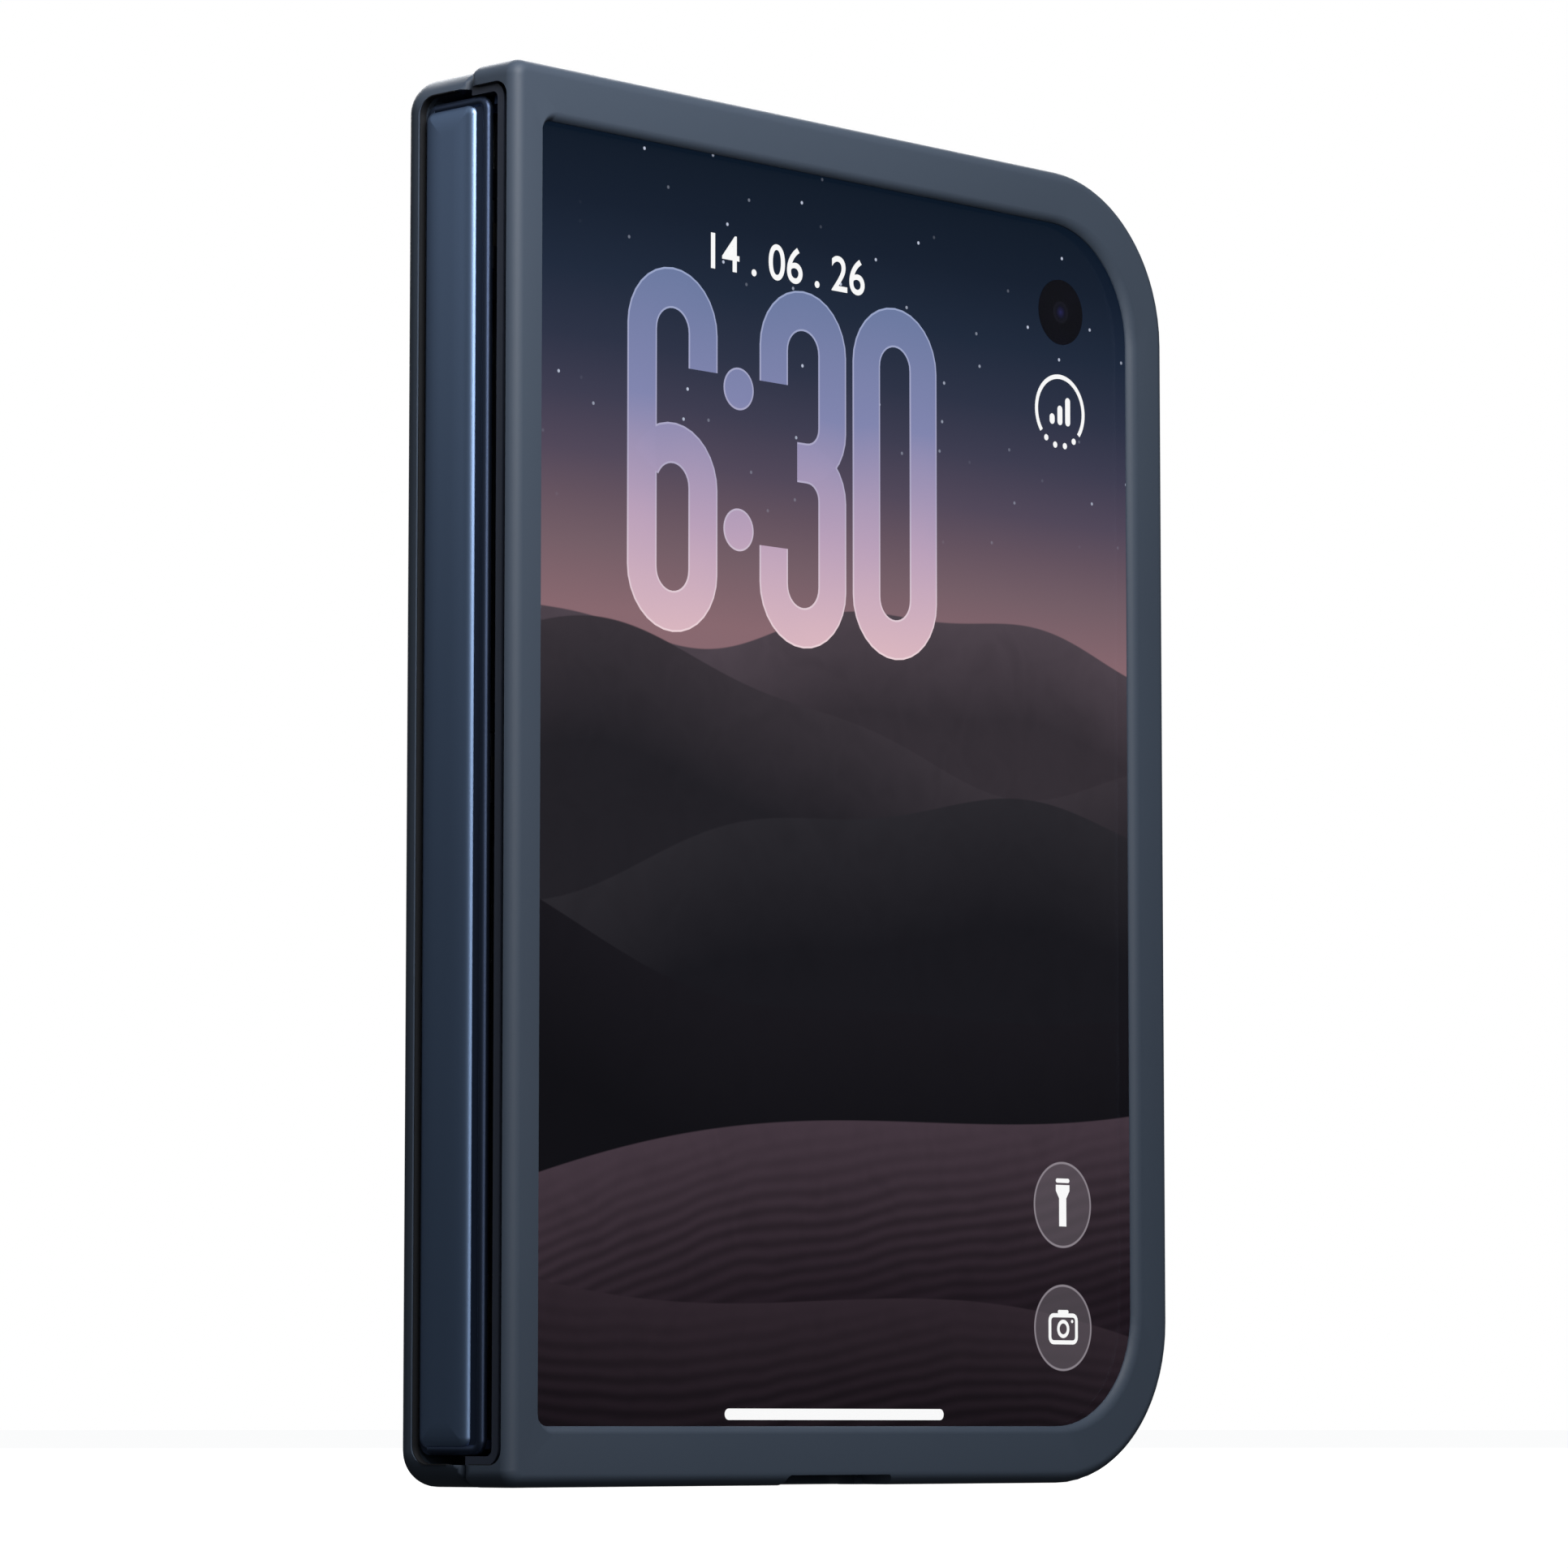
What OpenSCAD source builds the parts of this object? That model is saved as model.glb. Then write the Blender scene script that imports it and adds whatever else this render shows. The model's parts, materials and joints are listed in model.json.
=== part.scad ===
// Folding smartphone in a two-piece soft case, standing folded on its bottom edge.
// Two slim halves swing on two parallel hinge axes inside a metal spine.
// Case coordinates: u runs from the spine to the free edge, v from the cover display
// to the back, z upwards. place() turns them into the part's own frame.

/* [Case] */
// Height of the case
case_h = 123; // [118:0.5:128]
// Width of the folded case, spine side to free edge
case_w = 85.6; // [83:0.2:88]
// Thickness of the front shell
front_shell_t = 6.3; // [6.2:0.05:6.6]
// Thickness of the rear shell
rear_shell_t = 8.4; // [8.2:0.05:8.6]
// Gap between the two shells when folded
seam_gap = 0.3; // [0.24:0.02:0.4]
// Thickness of the case walls round the phone
case_wall = 1.9; // [1.7:0.1:2.2]
// Thickness of the rear shell's back wall
back_wall = 2.7; // [2.5:0.1:2.8]
// Thickness of the front shell's frame in front of the cover glass
front_lip = 1.05; // [0.9:0.05:1.2]
// Thickness of the fabric lining behind the phone
lining_t = 0.3; // [0.2:0.05:0.4]
// Radius of the two corners on the free edge
free_corner_r = 15; // [14:0.5:18]
// Radius of the two corners on the spine side
spine_corner_r = 1.4; // [1.2:0.1:2]
// Rounding of the front shell's outer edge
front_edge_r = 1.2; // [0.8:0.1:1.4]
// Rounding of the rear shell's outer edge
rear_edge_r = 2.8; // [2:0.1:3.2]
// Rounding of the rear shell's edge at the seam
seam_edge_r = 0.5; // [0.3:0.1:0.7]
// Rounding of the front shell's edge at the seam
front_seam_r = 1.2; // [0.4:0.1:1.4]

/* [Window] */
// Width of the window's border on the spine side
window_spine_margin = 4; // [3.6:0.1:4.4]
// Width of the window's border on the free edge
window_free_margin = 4.6; // [4.4:0.1:5.4]
// Width of the window's border at the top
window_top_margin = 4.9; // [4.4:0.1:5.6]
// Width of the window's border at the bottom
window_bottom_margin = 5.2; // [4.8:0.1:6]
// Radius of the window's free corners
window_free_r = 10.5; // [9:0.5:12]
// Radius of the window's spine corners
window_spine_r = 1.2; // [0.8:0.1:2]
// Width of the soft slope round the window
window_slope = 0.7; // [0.4:0.1:0.9]

/* [Hinge] */
// Distance of each hinge axis from the fold plane
axis_offset = 1.75; // [1.73:0.01:1.78]
// Width of the spine's flat face
spine_face_w = 6.3; // [6.1:0.1:6.4]
// Recess of the spine's face from the case's side
spine_recess = 0.1; // [0.06:0.02:0.16]
// Gap from the spine to the rear shell's lip
spine_lip_gap = 0.4; // [0.36:0.02:0.5]
// Thickness of the spine cover
spine_wall = 0.5; // [0.4:0.05:0.55]
// Height of the case above the top of the spine, and below its foot
spine_end_margin = 3.25; // [3.1:0.05:3.6]
// Width of the stepped rail beside the spine's face
rail_w = 1.0; // [0.9:0.05:1.1]
// Recess of the rail below the spine's face
rail_drop = 0.65; // [0.6:0.02:0.68]
// Depth of the spine's mechanism from the case's side
spine_depth = 2.7; // [2.6:0.05:2.8]
// Radius of the hinge pins
hinge_pin_r = 0.25; // [0.22:0.01:0.26]
// Radial running clearance of the pins
pin_clearance = 0.03; // [0.02:0.01:0.05]
// Radius of the hinge knuckles
knuckle_r = 0.55; // [0.5:0.01:0.58]
// Number of hinge modules along the spine
hinge_count = 3; // [2:1:4]
// Teeth on each of the four hinge gears
gear_teeth = 10; // [8:2:10]
// Length of a hinge block
block_len = 2.5; // [2:0.1:3]
// Length of a hinge arm
arm_len = 2; // [1.6:0.1:2.4]
// Length of a hinge gear
gear_len = 2; // [1.6:0.1:2.4]

/* [Phone] */
// Fit of the phone inside the case
phone_fit = 0.15; // [0.1:0.05:0.2]
// Thickness of the metal frame
frame_wall = 1.3; // [1.1:0.1:1.5]
// Rounding of the metal frame's outer edges
frame_edge_r = 1.5; // [1:0.1:1.8]
// Start of the rear half from the case's side
rear_hinge_u = 5.6; // [5.6:0.1:6.2]
// Start of the front half's inner side from the case's side
front_hinge_u = 3.5; // [3.5:0.1:4]
// Start of the front half's cover glass from the case's side
glass_start_u = 1.5; // [1.5:0.05:1.7]
// Thickness of the cover glass
cover_glass_t = 0.6; // [0.5:0.05:0.7]
// Thickness of the cover display panel
cover_panel_t = 0.6; // [0.5:0.05:0.7]
// Thickness of the back glass
back_glass_t = 0.6; // [0.5:0.05:0.7]
// Thickness of the folding display
inner_display_t = 0.25; // [0.2:0.05:0.3]
// Thickness of the plates behind the folding display
midplate_t = 0.5; // [0.4:0.05:0.6]
// Height of the plastic rim round the folding display
bezel_w = 1.6; // [1.4:0.1:2]
// Thickness of the circuit boards
board_t = 0.7; // [0.6:0.05:0.8]

/* [Cameras] */
// Distance of the cover camera from the top and from the free edge
cover_camera_inset = 13.1; // [12:0.1:14]
// Diameter of the cover camera's black window
cover_camera_d = 6.3; // [5.5:0.1:7]
// Height of the rear camera plateau
plateau_h = 20; // [18.5:0.5:22]
// How far the plateau stands out of the back glass
plateau_t = 2.4; // [2.2:0.1:2.6]
// Distance of the plateau from the case's top and free edge
plateau_margin = 6.5; // [6:0.5:8]
// Outer diameter of the rear lens rings
lens_d = 14; // [12:0.5:15]
// Gap between the lens rings
lens_gap = 2; // [1:0.5:4]
// Diameter of the flash
flash_d = 4.8; // [4:0.1:5.2]
// Gap between the plateau and the edge of the case's opening
plateau_gap = 0.6; // [0.4:0.1:1]

/* [Buttons] */
// Height of the power button's centre
power_z = 66; // [60:1:70]
// Length of the power button
power_len = 14; // [12:0.5:16]
// Height of the volume up button's centre
volume_up_z = 90; // [89:0.5:94]
// Height of the volume down button's centre
volume_down_z = 79.5; // [79:0.5:80]
// Length of each volume button
volume_len = 7; // [6:0.5:8]
// Width of the keys in the metal frame
key_w = 1.8; // [1.4:0.1:2]
// Width of the case's button pads
pad_w = 2.8; // [2.6:0.1:3.2]
// Clearance round a key and a pad
key_gap = 0.2; // [0.15:0.05:0.3]
// Travel of the buttons
key_travel = 0.3; // [0.2:0.05:0.35]

/* [Port] */
// Length of the soft scoop round the port
port_scoop_w = 13.5; // [12:0.5:16]
// Height of the scoop's front edge above the case's foot
port_scoop_h = 0.9; // [0.6:0.1:1.2]
// Distance of the port's centre from the middle of the case, towards the spine
port_offset = 2.2; // [-1:0.2:4]
// Length of the port's mouth
port_w = 9; // [8.4:0.1:9.4]
// Width of the port's mouth
port_t = 3.2; // [2.6:0.1:3.4]

/* [Charging] */
// Outer radius of the charging coil
coil_r = 20; // [18:0.5:21]
// Height of the coil's centre
coil_z = 55; // [50:1:58]
// Number of magnets in each ring
magnet_count = 18; // [12:1:24]
// Radial width of the magnets
magnet_w = 2.6; // [2:0.1:3]

/* [Hidden] */
$fn = 64;
least_r = 0.3;
case_t = front_shell_t + seam_gap + rear_shell_t;
fold_v = front_shell_t + seam_gap / 2;
axis_u = axis_offset - seam_gap / 2;
rear_axis_v = fold_v + axis_offset;
front_axis_v = fold_v - axis_offset;
axis_span = rear_axis_v - front_axis_v;
gear_pitch_r = axis_span / 6;
gear_module = 2 * gear_pitch_r / gear_teeth;
idler_v = [rear_axis_v - 2 * gear_pitch_r, front_axis_v + 2 * gear_pitch_r];

// The phone's folded halves inside the case
phone_u1 = case_w - case_wall - phone_fit;
phone_z0 = case_wall + phone_fit;
phone_z1 = case_h - phone_z0;
phone_corner_r = free_corner_r - case_wall - phone_fit;
rear_v0 = fold_v + seam_gap / 2;
lining_v0 = case_t - back_wall - lining_t;
front_v1 = fold_v - seam_gap / 2;
inner_edge_r = 0.3;

// The folding display and its plates
rear_display_v = rear_v0 + 0.1;
rear_plate_v = rear_display_v + inner_display_t;
rear_core_v = rear_plate_v + midplate_t;
front_display_v = front_v1 - 0.1;
front_plate_v = front_display_v - inner_display_t;
front_core_v = front_plate_v - midplate_t;
glass_v = front_lip;
panel_v = glass_v + cover_glass_t;
core_v = panel_v + cover_panel_t;
back_glass_v = lining_v0 - back_glass_t;
core_gap = 0.15;

// The spine
spine_rear_v = case_t - back_wall - spine_lip_gap;
spine_front_v = spine_rear_v - spine_face_w;
spine_z0 = spine_end_margin;
spine_z1 = case_h - spine_end_margin;
spine_rear_r = 1;
spine_front_r = 0.45;
rail_u = spine_recess + rail_drop;
rail_skin = 0.15;
rail_v0 = spine_front_v - rail_w;
cover_in_u = spine_recess + spine_wall;
module_gap = 0.2;
module_len = 2 * block_len + 2 * arm_len + gear_len + 2 * module_gap;
end_cap_t = 0.8;
arm_t = 0.7;
arm_pad_len = 4.5;

// Inner walls of the case's open spine side
slot_front_v = front_lip;
slot_r = 1.4;
rear_slot_r = 1.7;
slot_web = 1.4;
clip_u = 0.4;
clip_w = 1;
clip_t = 0.75;
clip_v = slot_front_v + 0.8;
clip_bend_v = clip_v + slot_r;

// Buttons
key_v = rear_core_v + 1.6;
key_u0 = phone_u1 - frame_wall - 0.15;
pad_u0 = phone_u1 + key_travel + key_gap;
pad_proud = 0.35;

// Foot of the front half
port_u = case_w / 2 - port_offset;
port_v = (core_v + front_core_v) / 2;
port_shell_t = 0.3;
tongue_w = 6.6;
tongue_t = 0.7;
grille_offset = 16;
grille_len = 13;
grille_holes = 6;
grille_hole_r = 0.5;

// Rear cameras
plateau_u1 = case_w - plateau_margin;
plateau_z1 = case_h - plateau_margin;
plateau_z0 = plateau_z1 - plateau_h;
plateau_r = plateau_h / 2 - 0.6;
lens_z = (plateau_z0 + plateau_z1) / 2;
lens_u = [plateau_u1 - plateau_h / 2, plateau_u1 - plateau_h / 2 - lens_d - lens_gap];
flash_gap = 0.5;
flash_t = 0.5;
flash_u = lens_u[1] - lens_d / 2 - flash_gap - flash_d / 2;
plateau_u0 = flash_u - plateau_h / 2 + 1.9;
barrel_r = lens_d / 2 - 2;
cover_camera_u = case_w - cover_camera_inset;
cover_camera_z = case_h - cover_camera_inset;
coil_u = (rear_hinge_u + phone_u1) / 2;
magnet_r = coil_r + 1 + magnet_w / 2;
magnet_t = 0.7;
inner_camera_inset = 8;
inner_camera_r = 2;

// The boards, batteries and blocks between the mid plates and the outer faces
board_edge = 0.5;
board_u = [rear_hinge_u + arm_pad_len + 1, phone_u1 - frame_wall - 4.5];
board_z = [plateau_z0 - 10, phone_z1 - frame_wall - 1];
board_v = rear_core_v + 0.6;
can_u = [board_u[0] + board_edge, board_u[0] + (board_u[1] - board_u[0]) * 0.28];
low_can_u = [can_u[1] + 4, (board_u[0] + board_u[1]) / 2 + 5];
can_h = 1.3;
can_r = 0.5;
coil_t = 0.45;
wall_z0 = phone_z0 + frame_wall;
sub_board_u = [port_u - 14, port_u + 6.4];
sub_board_z = [wall_z0 + 8.5, wall_z0 + 16];
tongue_z = [phone_z0 + 1.2, phone_z0 + 7];
mesh_t = 0.5;
earpiece_w = 16;
earpiece_z = [phone_z1 - frame_wall - 7, phone_z1 - frame_wall - 0.2];
screw_r = 0.9;
screw_t = 0.5;

// ---- Shared shapes ----

// From case coordinates to the part's frame: origin under the middle, pads included
module place() {
  translate([-(case_w + pad_proud) / 2, -case_t / 2, 0]) children();
}

module block(u, v, z) {
  translate([u[0], v[0], z[0]]) cube([u[1] - u[0], v[1] - v[0], z[1] - z[0]]);
}

// A plate of constant outline between two depths
module slab(v) {
  translate([0, v[1], 0]) rotate([90, 0, 0]) linear_extrude(v[1] - v[0]) children();
}

// An upright rod at (u, v)
module rod(u, v, z, r) {
  translate([u, v, z[0]]) cylinder(r = r, h = z[1] - z[0]);
}

// A short rod through the thickness
module stud(u, z, v, r) {
  translate([u, v[1], z]) rotate([90, 0, 0]) cylinder(r = r, h = v[1] - v[0]);
}

// Rectangle with rounded spine corners, its free corners left out
module open_face(u, z, rs, rf) {
  polygon([[u[0] + rs, z[0]], [u[1] - rf, z[0]], [u[1] - rf, z[0] + rf], [u[1], z[0] + rf],
           [u[1], z[1] - rf], [u[1] - rf, z[1] - rf], [u[1] - rf, z[1]], [u[0] + rs, z[1]],
           [u[0] + rs, z[1] - rs], [u[0], z[1] - rs], [u[0], z[0] + rs],
           [u[0] + rs, z[0] + rs]]);
  for (corner_z = [z[0] + rs, z[1] - rs]) translate([u[0] + rs, corner_z]) circle(r = rs);
}

// Rectangle with one radius at the spine corners and one at the free corners
module face(u, z, rs, rf) {
  open_face(u, z, rs, rf);
  for (corner_z = [z[0] + rf, z[1] - rf]) translate([u[1] - rf, corner_z]) circle(r = rf);
}

// A face pulled in all round by a margin
module inset_face(u, z, rs, rf, margin) {
  face([u[0] + margin, u[1] - margin], [z[0] + margin, z[1] - margin],
       max(rs - margin, least_r), max(rf - margin, least_r));
}

// Section from the middle of a body out to its rounded edges
module half_section(w, v, r_front, r_back) {
  translate([0, v[0] + r_front]) square([w, v[1] - v[0] - r_front - r_back]);
  translate([0, v[0]]) square([w - r_front, r_front]);
  translate([0, v[1] - r_back]) square([w - r_back, r_back]);
  intersection() {
    union() {
      translate([w - r_front, v[0] + r_front]) circle(r = r_front);
      translate([w - r_back, v[1] - r_back]) circle(r = r_back);
    }
    translate([0, v[0]]) square([w, v[1] - v[0]]);
  }
}

module section(w, v, r_front, r_back) {
  for (side = [0, 1])
    translate([(w[0] + w[1]) / 2, 0]) mirror([side, 0])
      half_section((w[1] - w[0]) / 2, v, r_front, r_back);
}

// One rounded corner of a body, turned to its place on the face
module soft_corner(u, z, turn, r, v, r_front, r_back) {
  translate([u, 0, z]) rotate([-90, 0, 0]) rotate([0, 0, turn])
    rotate_extrude(angle = 90) half_section(r, v, r_front, r_back);
}

// A body of that face whose front and back edges are rounded, its corners too
module soft_body(u, z, rs, rf, v, r_front, r_back) {
  re = max(rs, r_front + least_r, r_back + least_r);
  translate([u[0] + re, 0, 0]) rotate([0, 90, 0]) linear_extrude(u[1] - rf - u[0] - re)
    section([-z[1], -z[0]], v, r_front, r_back);
  translate([u[0] + re, 0, z[0] + re]) linear_extrude(z[1] - z[0] - 2 * re)
    mirror([1, 0]) half_section(re, v, r_front, r_back);
  translate([u[1] - rf, 0, z[0] + rf]) linear_extrude(z[1] - z[0] - 2 * rf)
    half_section(rf, v, r_front, r_back);
  soft_corner(u[1] - rf, z[0] + rf, 0, rf, v, r_front, r_back);
  soft_corner(u[0] + re, z[0] + re, 90, re, v, r_front, r_back);
  soft_corner(u[0] + re, z[1] - re, 180, re, v, r_front, r_back);
  soft_corner(u[1] - rf, z[1] - rf, 270, rf, v, r_front, r_back);
}

// A slot with round ends along z, cut through the free edge
module side_slot(z_mid, len, width, v_mid, u) {
  for (end = [-1, 1]) {
    translate([u[0], v_mid, z_mid + end * (len - width) / 2]) rotate([0, 90, 0])
      cylinder(d = width, h = u[1] - u[0]);
  }
  block(u, [v_mid - width / 2, v_mid + width / 2],
        [z_mid - (len - width) / 2, z_mid + (len - width) / 2]);
}

// A slot with round ends along u, cut up through the foot
module foot_slot(u_mid, len, width, v_mid, z) {
  for (end = [-1, 1]) rod(u_mid + end * (len - width) / 2, v_mid, z, width / 2);
  block([u_mid - (len - width) / 2, u_mid + (len - width) / 2],
        [v_mid - width / 2, v_mid + width / 2], z);
}

// What a shell loses at the seam so that it can turn about its hinge axis
module seam_corner(axis_v, toward) {
  v0 = toward < 0 ? fold_v - 1 : axis_v;
  v1 = toward < 0 ? axis_v : fold_v + 1;
  difference() {
    block([-1, axis_u], [v0, v1], [-1, case_h + 1]);
    rod(axis_u, axis_v, [-2, case_h + 2], axis_u);
  }
}

function module_z(i) =
  spine_z0 + 6 + i * (spine_z1 - spine_z0 - 12 - module_len) / (hinge_count - 1);
function arm_z(i, side) =
  module_z(i) + block_len + module_gap + side * (arm_len + gear_len);
function gear_z(i) = module_z(i) + block_len + module_gap + arm_len;

// Outline of a straight-toothed gear, one tooth or one gap on the -v line
function gear_points(offset) = [
  for (tooth = [0 : gear_teeth - 1])
    for (corner = [[-0.30, -1.15], [-0.14, 0.7], [0.14, 0.7], [0.30, -1.15]])
      let (turn = (tooth + offset) * 360 / gear_teeth - 90 + corner[0] * 360 / gear_teeth,
           r = gear_pitch_r + corner[1] * gear_module)
      [r * cos(turn), r * sin(turn)]
];

module gear(v, offset, z, bore_r) {
  difference() {
    translate([axis_u, v, z[0]]) linear_extrude(z[1] - z[0]) polygon(gear_points(offset));
    rod(axis_u, v, [z[0] - 1, z[1] + 1], bore_r);
  }
}

// Segments of a magnet ring round the charging coil
module magnet_ring(v) {
  for (i = [0 : magnet_count - 1]) {
    translate([coil_u, v[1], coil_z]) rotate([90, 0, 0]) rotate([0, 0, i * 360 / magnet_count])
      linear_extrude(v[1] - v[0])
        translate([magnet_r - magnet_w / 2, -magnet_w]) square([magnet_w, 2 * magnet_w]);
  }
}

module plateau_outline(margin) {
  face([plateau_u0 - margin, plateau_u1 + margin], [plateau_z0 - margin, plateau_z1 + margin],
       plateau_r + margin, plateau_r + margin);
}

// ---- Case ----

module rear_shell() color([0.20, 0.25, 0.32]) place() difference() {
  soft_body([0, case_w], [0, case_h], spine_corner_r, free_corner_r,
            [fold_v + seam_gap / 2, case_t], seam_edge_r, rear_edge_r);
  difference() {
    slab([fold_v - 1, case_t - back_wall])
      face([-5, case_w - case_wall], [case_wall, case_h - case_wall], slot_r,
           free_corner_r - case_wall);
    rear_slot_corner(case_wall, 1);
    rear_slot_corner(case_h - case_wall, -1);
  }
  seam_corner(rear_axis_v, -1);
  slab([lining_v0 - 1, case_t + 1]) plateau_outline(plateau_gap);
  magnet_seat();
  pad_slot(power_z, power_len);
  pad_slot(volume_up_z, volume_len);
  pad_slot(volume_down_z, volume_len);
}

// What stays in a back corner of the open spine side, which makes that corner round
module rear_slot_corner(z, up) {
  z_mid = z + up * rear_slot_r;
  v_mid = case_t - back_wall - rear_slot_r;
  difference() {
    block([-6, slot_web], [v_mid, case_t], [min(z - up, z_mid), max(z - up, z_mid)]);
    translate([-7, v_mid, z_mid]) rotate([0, 90, 0])
      cylinder(r = rear_slot_r, h = slot_web + 8);
  }
}

// Ring-shaped seat for the case's magnets, closed by the lining
module magnet_seat() {
  seat_v = [case_t - back_wall - 1, case_t - back_wall + magnet_t + 0.1];
  difference() {
    stud(coil_u, coil_z, seat_v, magnet_r + magnet_w * 1.25);
    stud(coil_u, coil_z, [seat_v[0] - 1, seat_v[1] + 1], magnet_r - magnet_w * 0.75);
  }
}

module pad_slot(z_mid, len) {
  side_slot(z_mid, len + 2 + 2 * key_gap, pad_w + 2 * key_gap, key_v,
            [case_w - case_wall - 1, case_w + 1]);
}

module rear_lining() color([0.13, 0.15, 0.19]) place() difference() {
  slab([lining_v0, case_t - back_wall])
    face([rear_hinge_u + 0.4, case_w - case_wall], [case_wall, case_h - case_wall], 1,
         free_corner_r - case_wall);
  slab([lining_v0 - 1, case_t]) plateau_outline(plateau_gap);
}

module case_magnets() color([0.55, 0.56, 0.58]) place()
  magnet_ring([case_t - back_wall, case_t - back_wall + magnet_t]);

module front_shell() color([0.20, 0.25, 0.32]) place() difference() {
  soft_body([0, case_w], [0, case_h], spine_corner_r, free_corner_r,
            [0, fold_v - seam_gap / 2], front_edge_r, front_seam_r);
  slab([front_lip, fold_v + 1])
    face([glass_start_u - phone_fit, case_w - case_wall], [case_wall, case_h - case_wall],
         0.3, free_corner_r - case_wall);
  block([-1, glass_start_u + 1], [slot_front_v + slot_r, fold_v + 1],
        [case_wall, case_h - case_wall]);
  block([-1, glass_start_u + 1], [slot_front_v, slot_front_v + slot_r + 0.1],
        [case_wall + slot_r, case_h - case_wall - slot_r]);
  for (end_z = [case_wall + slot_r, case_h - case_wall - slot_r])
    translate([-1, slot_front_v + slot_r, end_z]) rotate([0, 90, 0])
      cylinder(r = slot_r, h = glass_start_u + 2);
  seam_corner(front_axis_v, 1);
  window_cut();
  port_cut();
}

module window_outline(margin) {
  face([window_spine_margin - margin, case_w - window_free_margin + margin],
       [window_bottom_margin - margin, case_h - window_top_margin + margin],
       window_spine_r + margin, window_free_r + margin);
}

module window_cut() {
  slab([-1, front_lip + 0.1]) window_outline(0);
  hull() {
    slab([-0.1, 0]) window_outline(window_slope);
    slab([front_lip - 0.3, front_lip - 0.2]) window_outline(0);
  }
}

module port_cut() {
  foot_slot(port_u, port_w + 2.4, port_t + 0.8, port_v, [-1, case_wall + 0.1]);
  for (side = [-1, 1])
    foot_slot(port_u + side * grille_offset, grille_len, grille_hole_r * 3, port_v,
              [-1, case_wall + 0.1]);
  translate([0, port_v, 0]) hull() {
    for (end = [-1, 1]) {
      translate([port_u + end * (port_scoop_w / 2 - 0.6), -port_v - 1, port_scoop_h - 0.6])
        rotate([-90, 0, 0]) cylinder(r = 0.6, h = port_v + 1);
      translate([port_u + end * port_scoop_w / 2 - 0.5, -port_v - 1, -1])
        cube([1, port_v + 1, 0.5]);
    }
  }
}

// Stiff rail that hooks the front half's hinge side into the shell
module clip_rail() color([0.12, 0.14, 0.18]) place() difference() {
  union() {
    block([clip_u, clip_u + clip_w], [clip_v, clip_v + clip_t],
          [case_wall + slot_r, case_h - case_wall - slot_r]);
    for (end = [0, 1]) {
      translate([clip_u, clip_bend_v,
                 end == 0 ? case_wall + slot_r : case_h - case_wall - slot_r])
        rotate([0, 90, 0]) difference() {
          cylinder(r = slot_r, h = clip_w);
          translate([0, 0, -1]) cylinder(r = slot_r - clip_t, h = clip_w + 2);
          translate([-2 * slot_r, 0, -1]) cube([4 * slot_r, 2 * slot_r, clip_w + 2]);
          translate([end == 0 ? -2 * slot_r : 0, -2 * slot_r, -1])
            cube([2 * slot_r, 4 * slot_r, clip_w + 2]);
        }
      translate([0, 0, end == 0 ? 0 : case_h - 2 * case_wall - clip_t])
        block([clip_u, clip_u + clip_w], [clip_bend_v, fold_v - 0.6],
              [case_wall, case_wall + clip_t]);
    }
  }
}

// ---- Rear half ----

module phone_face(u0, margin) {
  inset_face([u0, phone_u1], [phone_z0, phone_z1], 0.6, phone_corner_r, margin);
}

module rear_frame() color([0.19, 0.23, 0.33]) place() difference() {
  soft_body([rear_hinge_u, phone_u1], [phone_z0, phone_z1], 0.6, phone_corner_r,
            [rear_v0, lining_v0], inner_edge_r, frame_edge_r);
  slab([rear_core_v, back_glass_v]) phone_face(rear_hinge_u, frame_wall);
  slab([rear_v0 - 1, rear_core_v + 0.1]) phone_face(0, bezel_w / 2);
  slab([back_glass_v - 0.1, lining_v0 + 1]) phone_face(rear_hinge_u, frame_edge_r + 0.1);
  block([0, rear_hinge_u + frame_wall + 0.1],
        [rear_v0 - 1, rear_axis_v + arm_t / 2 + pin_clearance],
        [phone_z0 + frame_wall, phone_z1 - frame_wall]);
  key_slot(power_z, power_len);
  key_slot(volume_up_z, volume_len);
  key_slot(volume_down_z, volume_len);
}

module key_slot(z_mid, len) {
  side_slot(z_mid, len + 2 * key_gap, key_w + 2 * key_gap, key_v,
            [phone_u1 - frame_wall - 1, phone_u1 + 1]);
}

// Rim round three sides of a display half, open towards the hinge
module bezel(start_u, v) {
  difference() {
    slab(v) phone_face(start_u - bezel_w / 2, bezel_w / 2);
    slab([v[0] - 1, v[1] + 1]) phone_face(0, bezel_w);
  }
}

module rear_bezel() color([0.05, 0.05, 0.06]) place()
  bezel(rear_hinge_u, [rear_display_v, rear_plate_v]);

module rear_display() color([0.02, 0.02, 0.03]) place() difference() {
  slab([rear_display_v, rear_plate_v]) phone_face(rear_hinge_u - bezel_w, bezel_w);
  stud(phone_u1 - inner_camera_inset, phone_z1 - inner_camera_inset,
       [rear_display_v - 1, rear_plate_v + 1], inner_camera_r);
}

module inner_camera() color([0.01, 0.01, 0.02]) place()
  stud(phone_u1 - inner_camera_inset, phone_z1 - inner_camera_inset,
       [rear_display_v, rear_plate_v], inner_camera_r);

module rear_midplate() color([0.45, 0.46, 0.48]) place()
  slab([rear_plate_v, rear_core_v]) phone_face(rear_hinge_u - bezel_w / 2, bezel_w / 2);

module back_glass() color([0.17, 0.22, 0.32]) place() difference() {
  slab([back_glass_v, lining_v0]) phone_face(rear_hinge_u, frame_edge_r + 0.1);
  for (u = lens_u) stud(u, lens_z, [back_glass_v - 1, lining_v0 + 1], barrel_r + 0.1);
}

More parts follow.
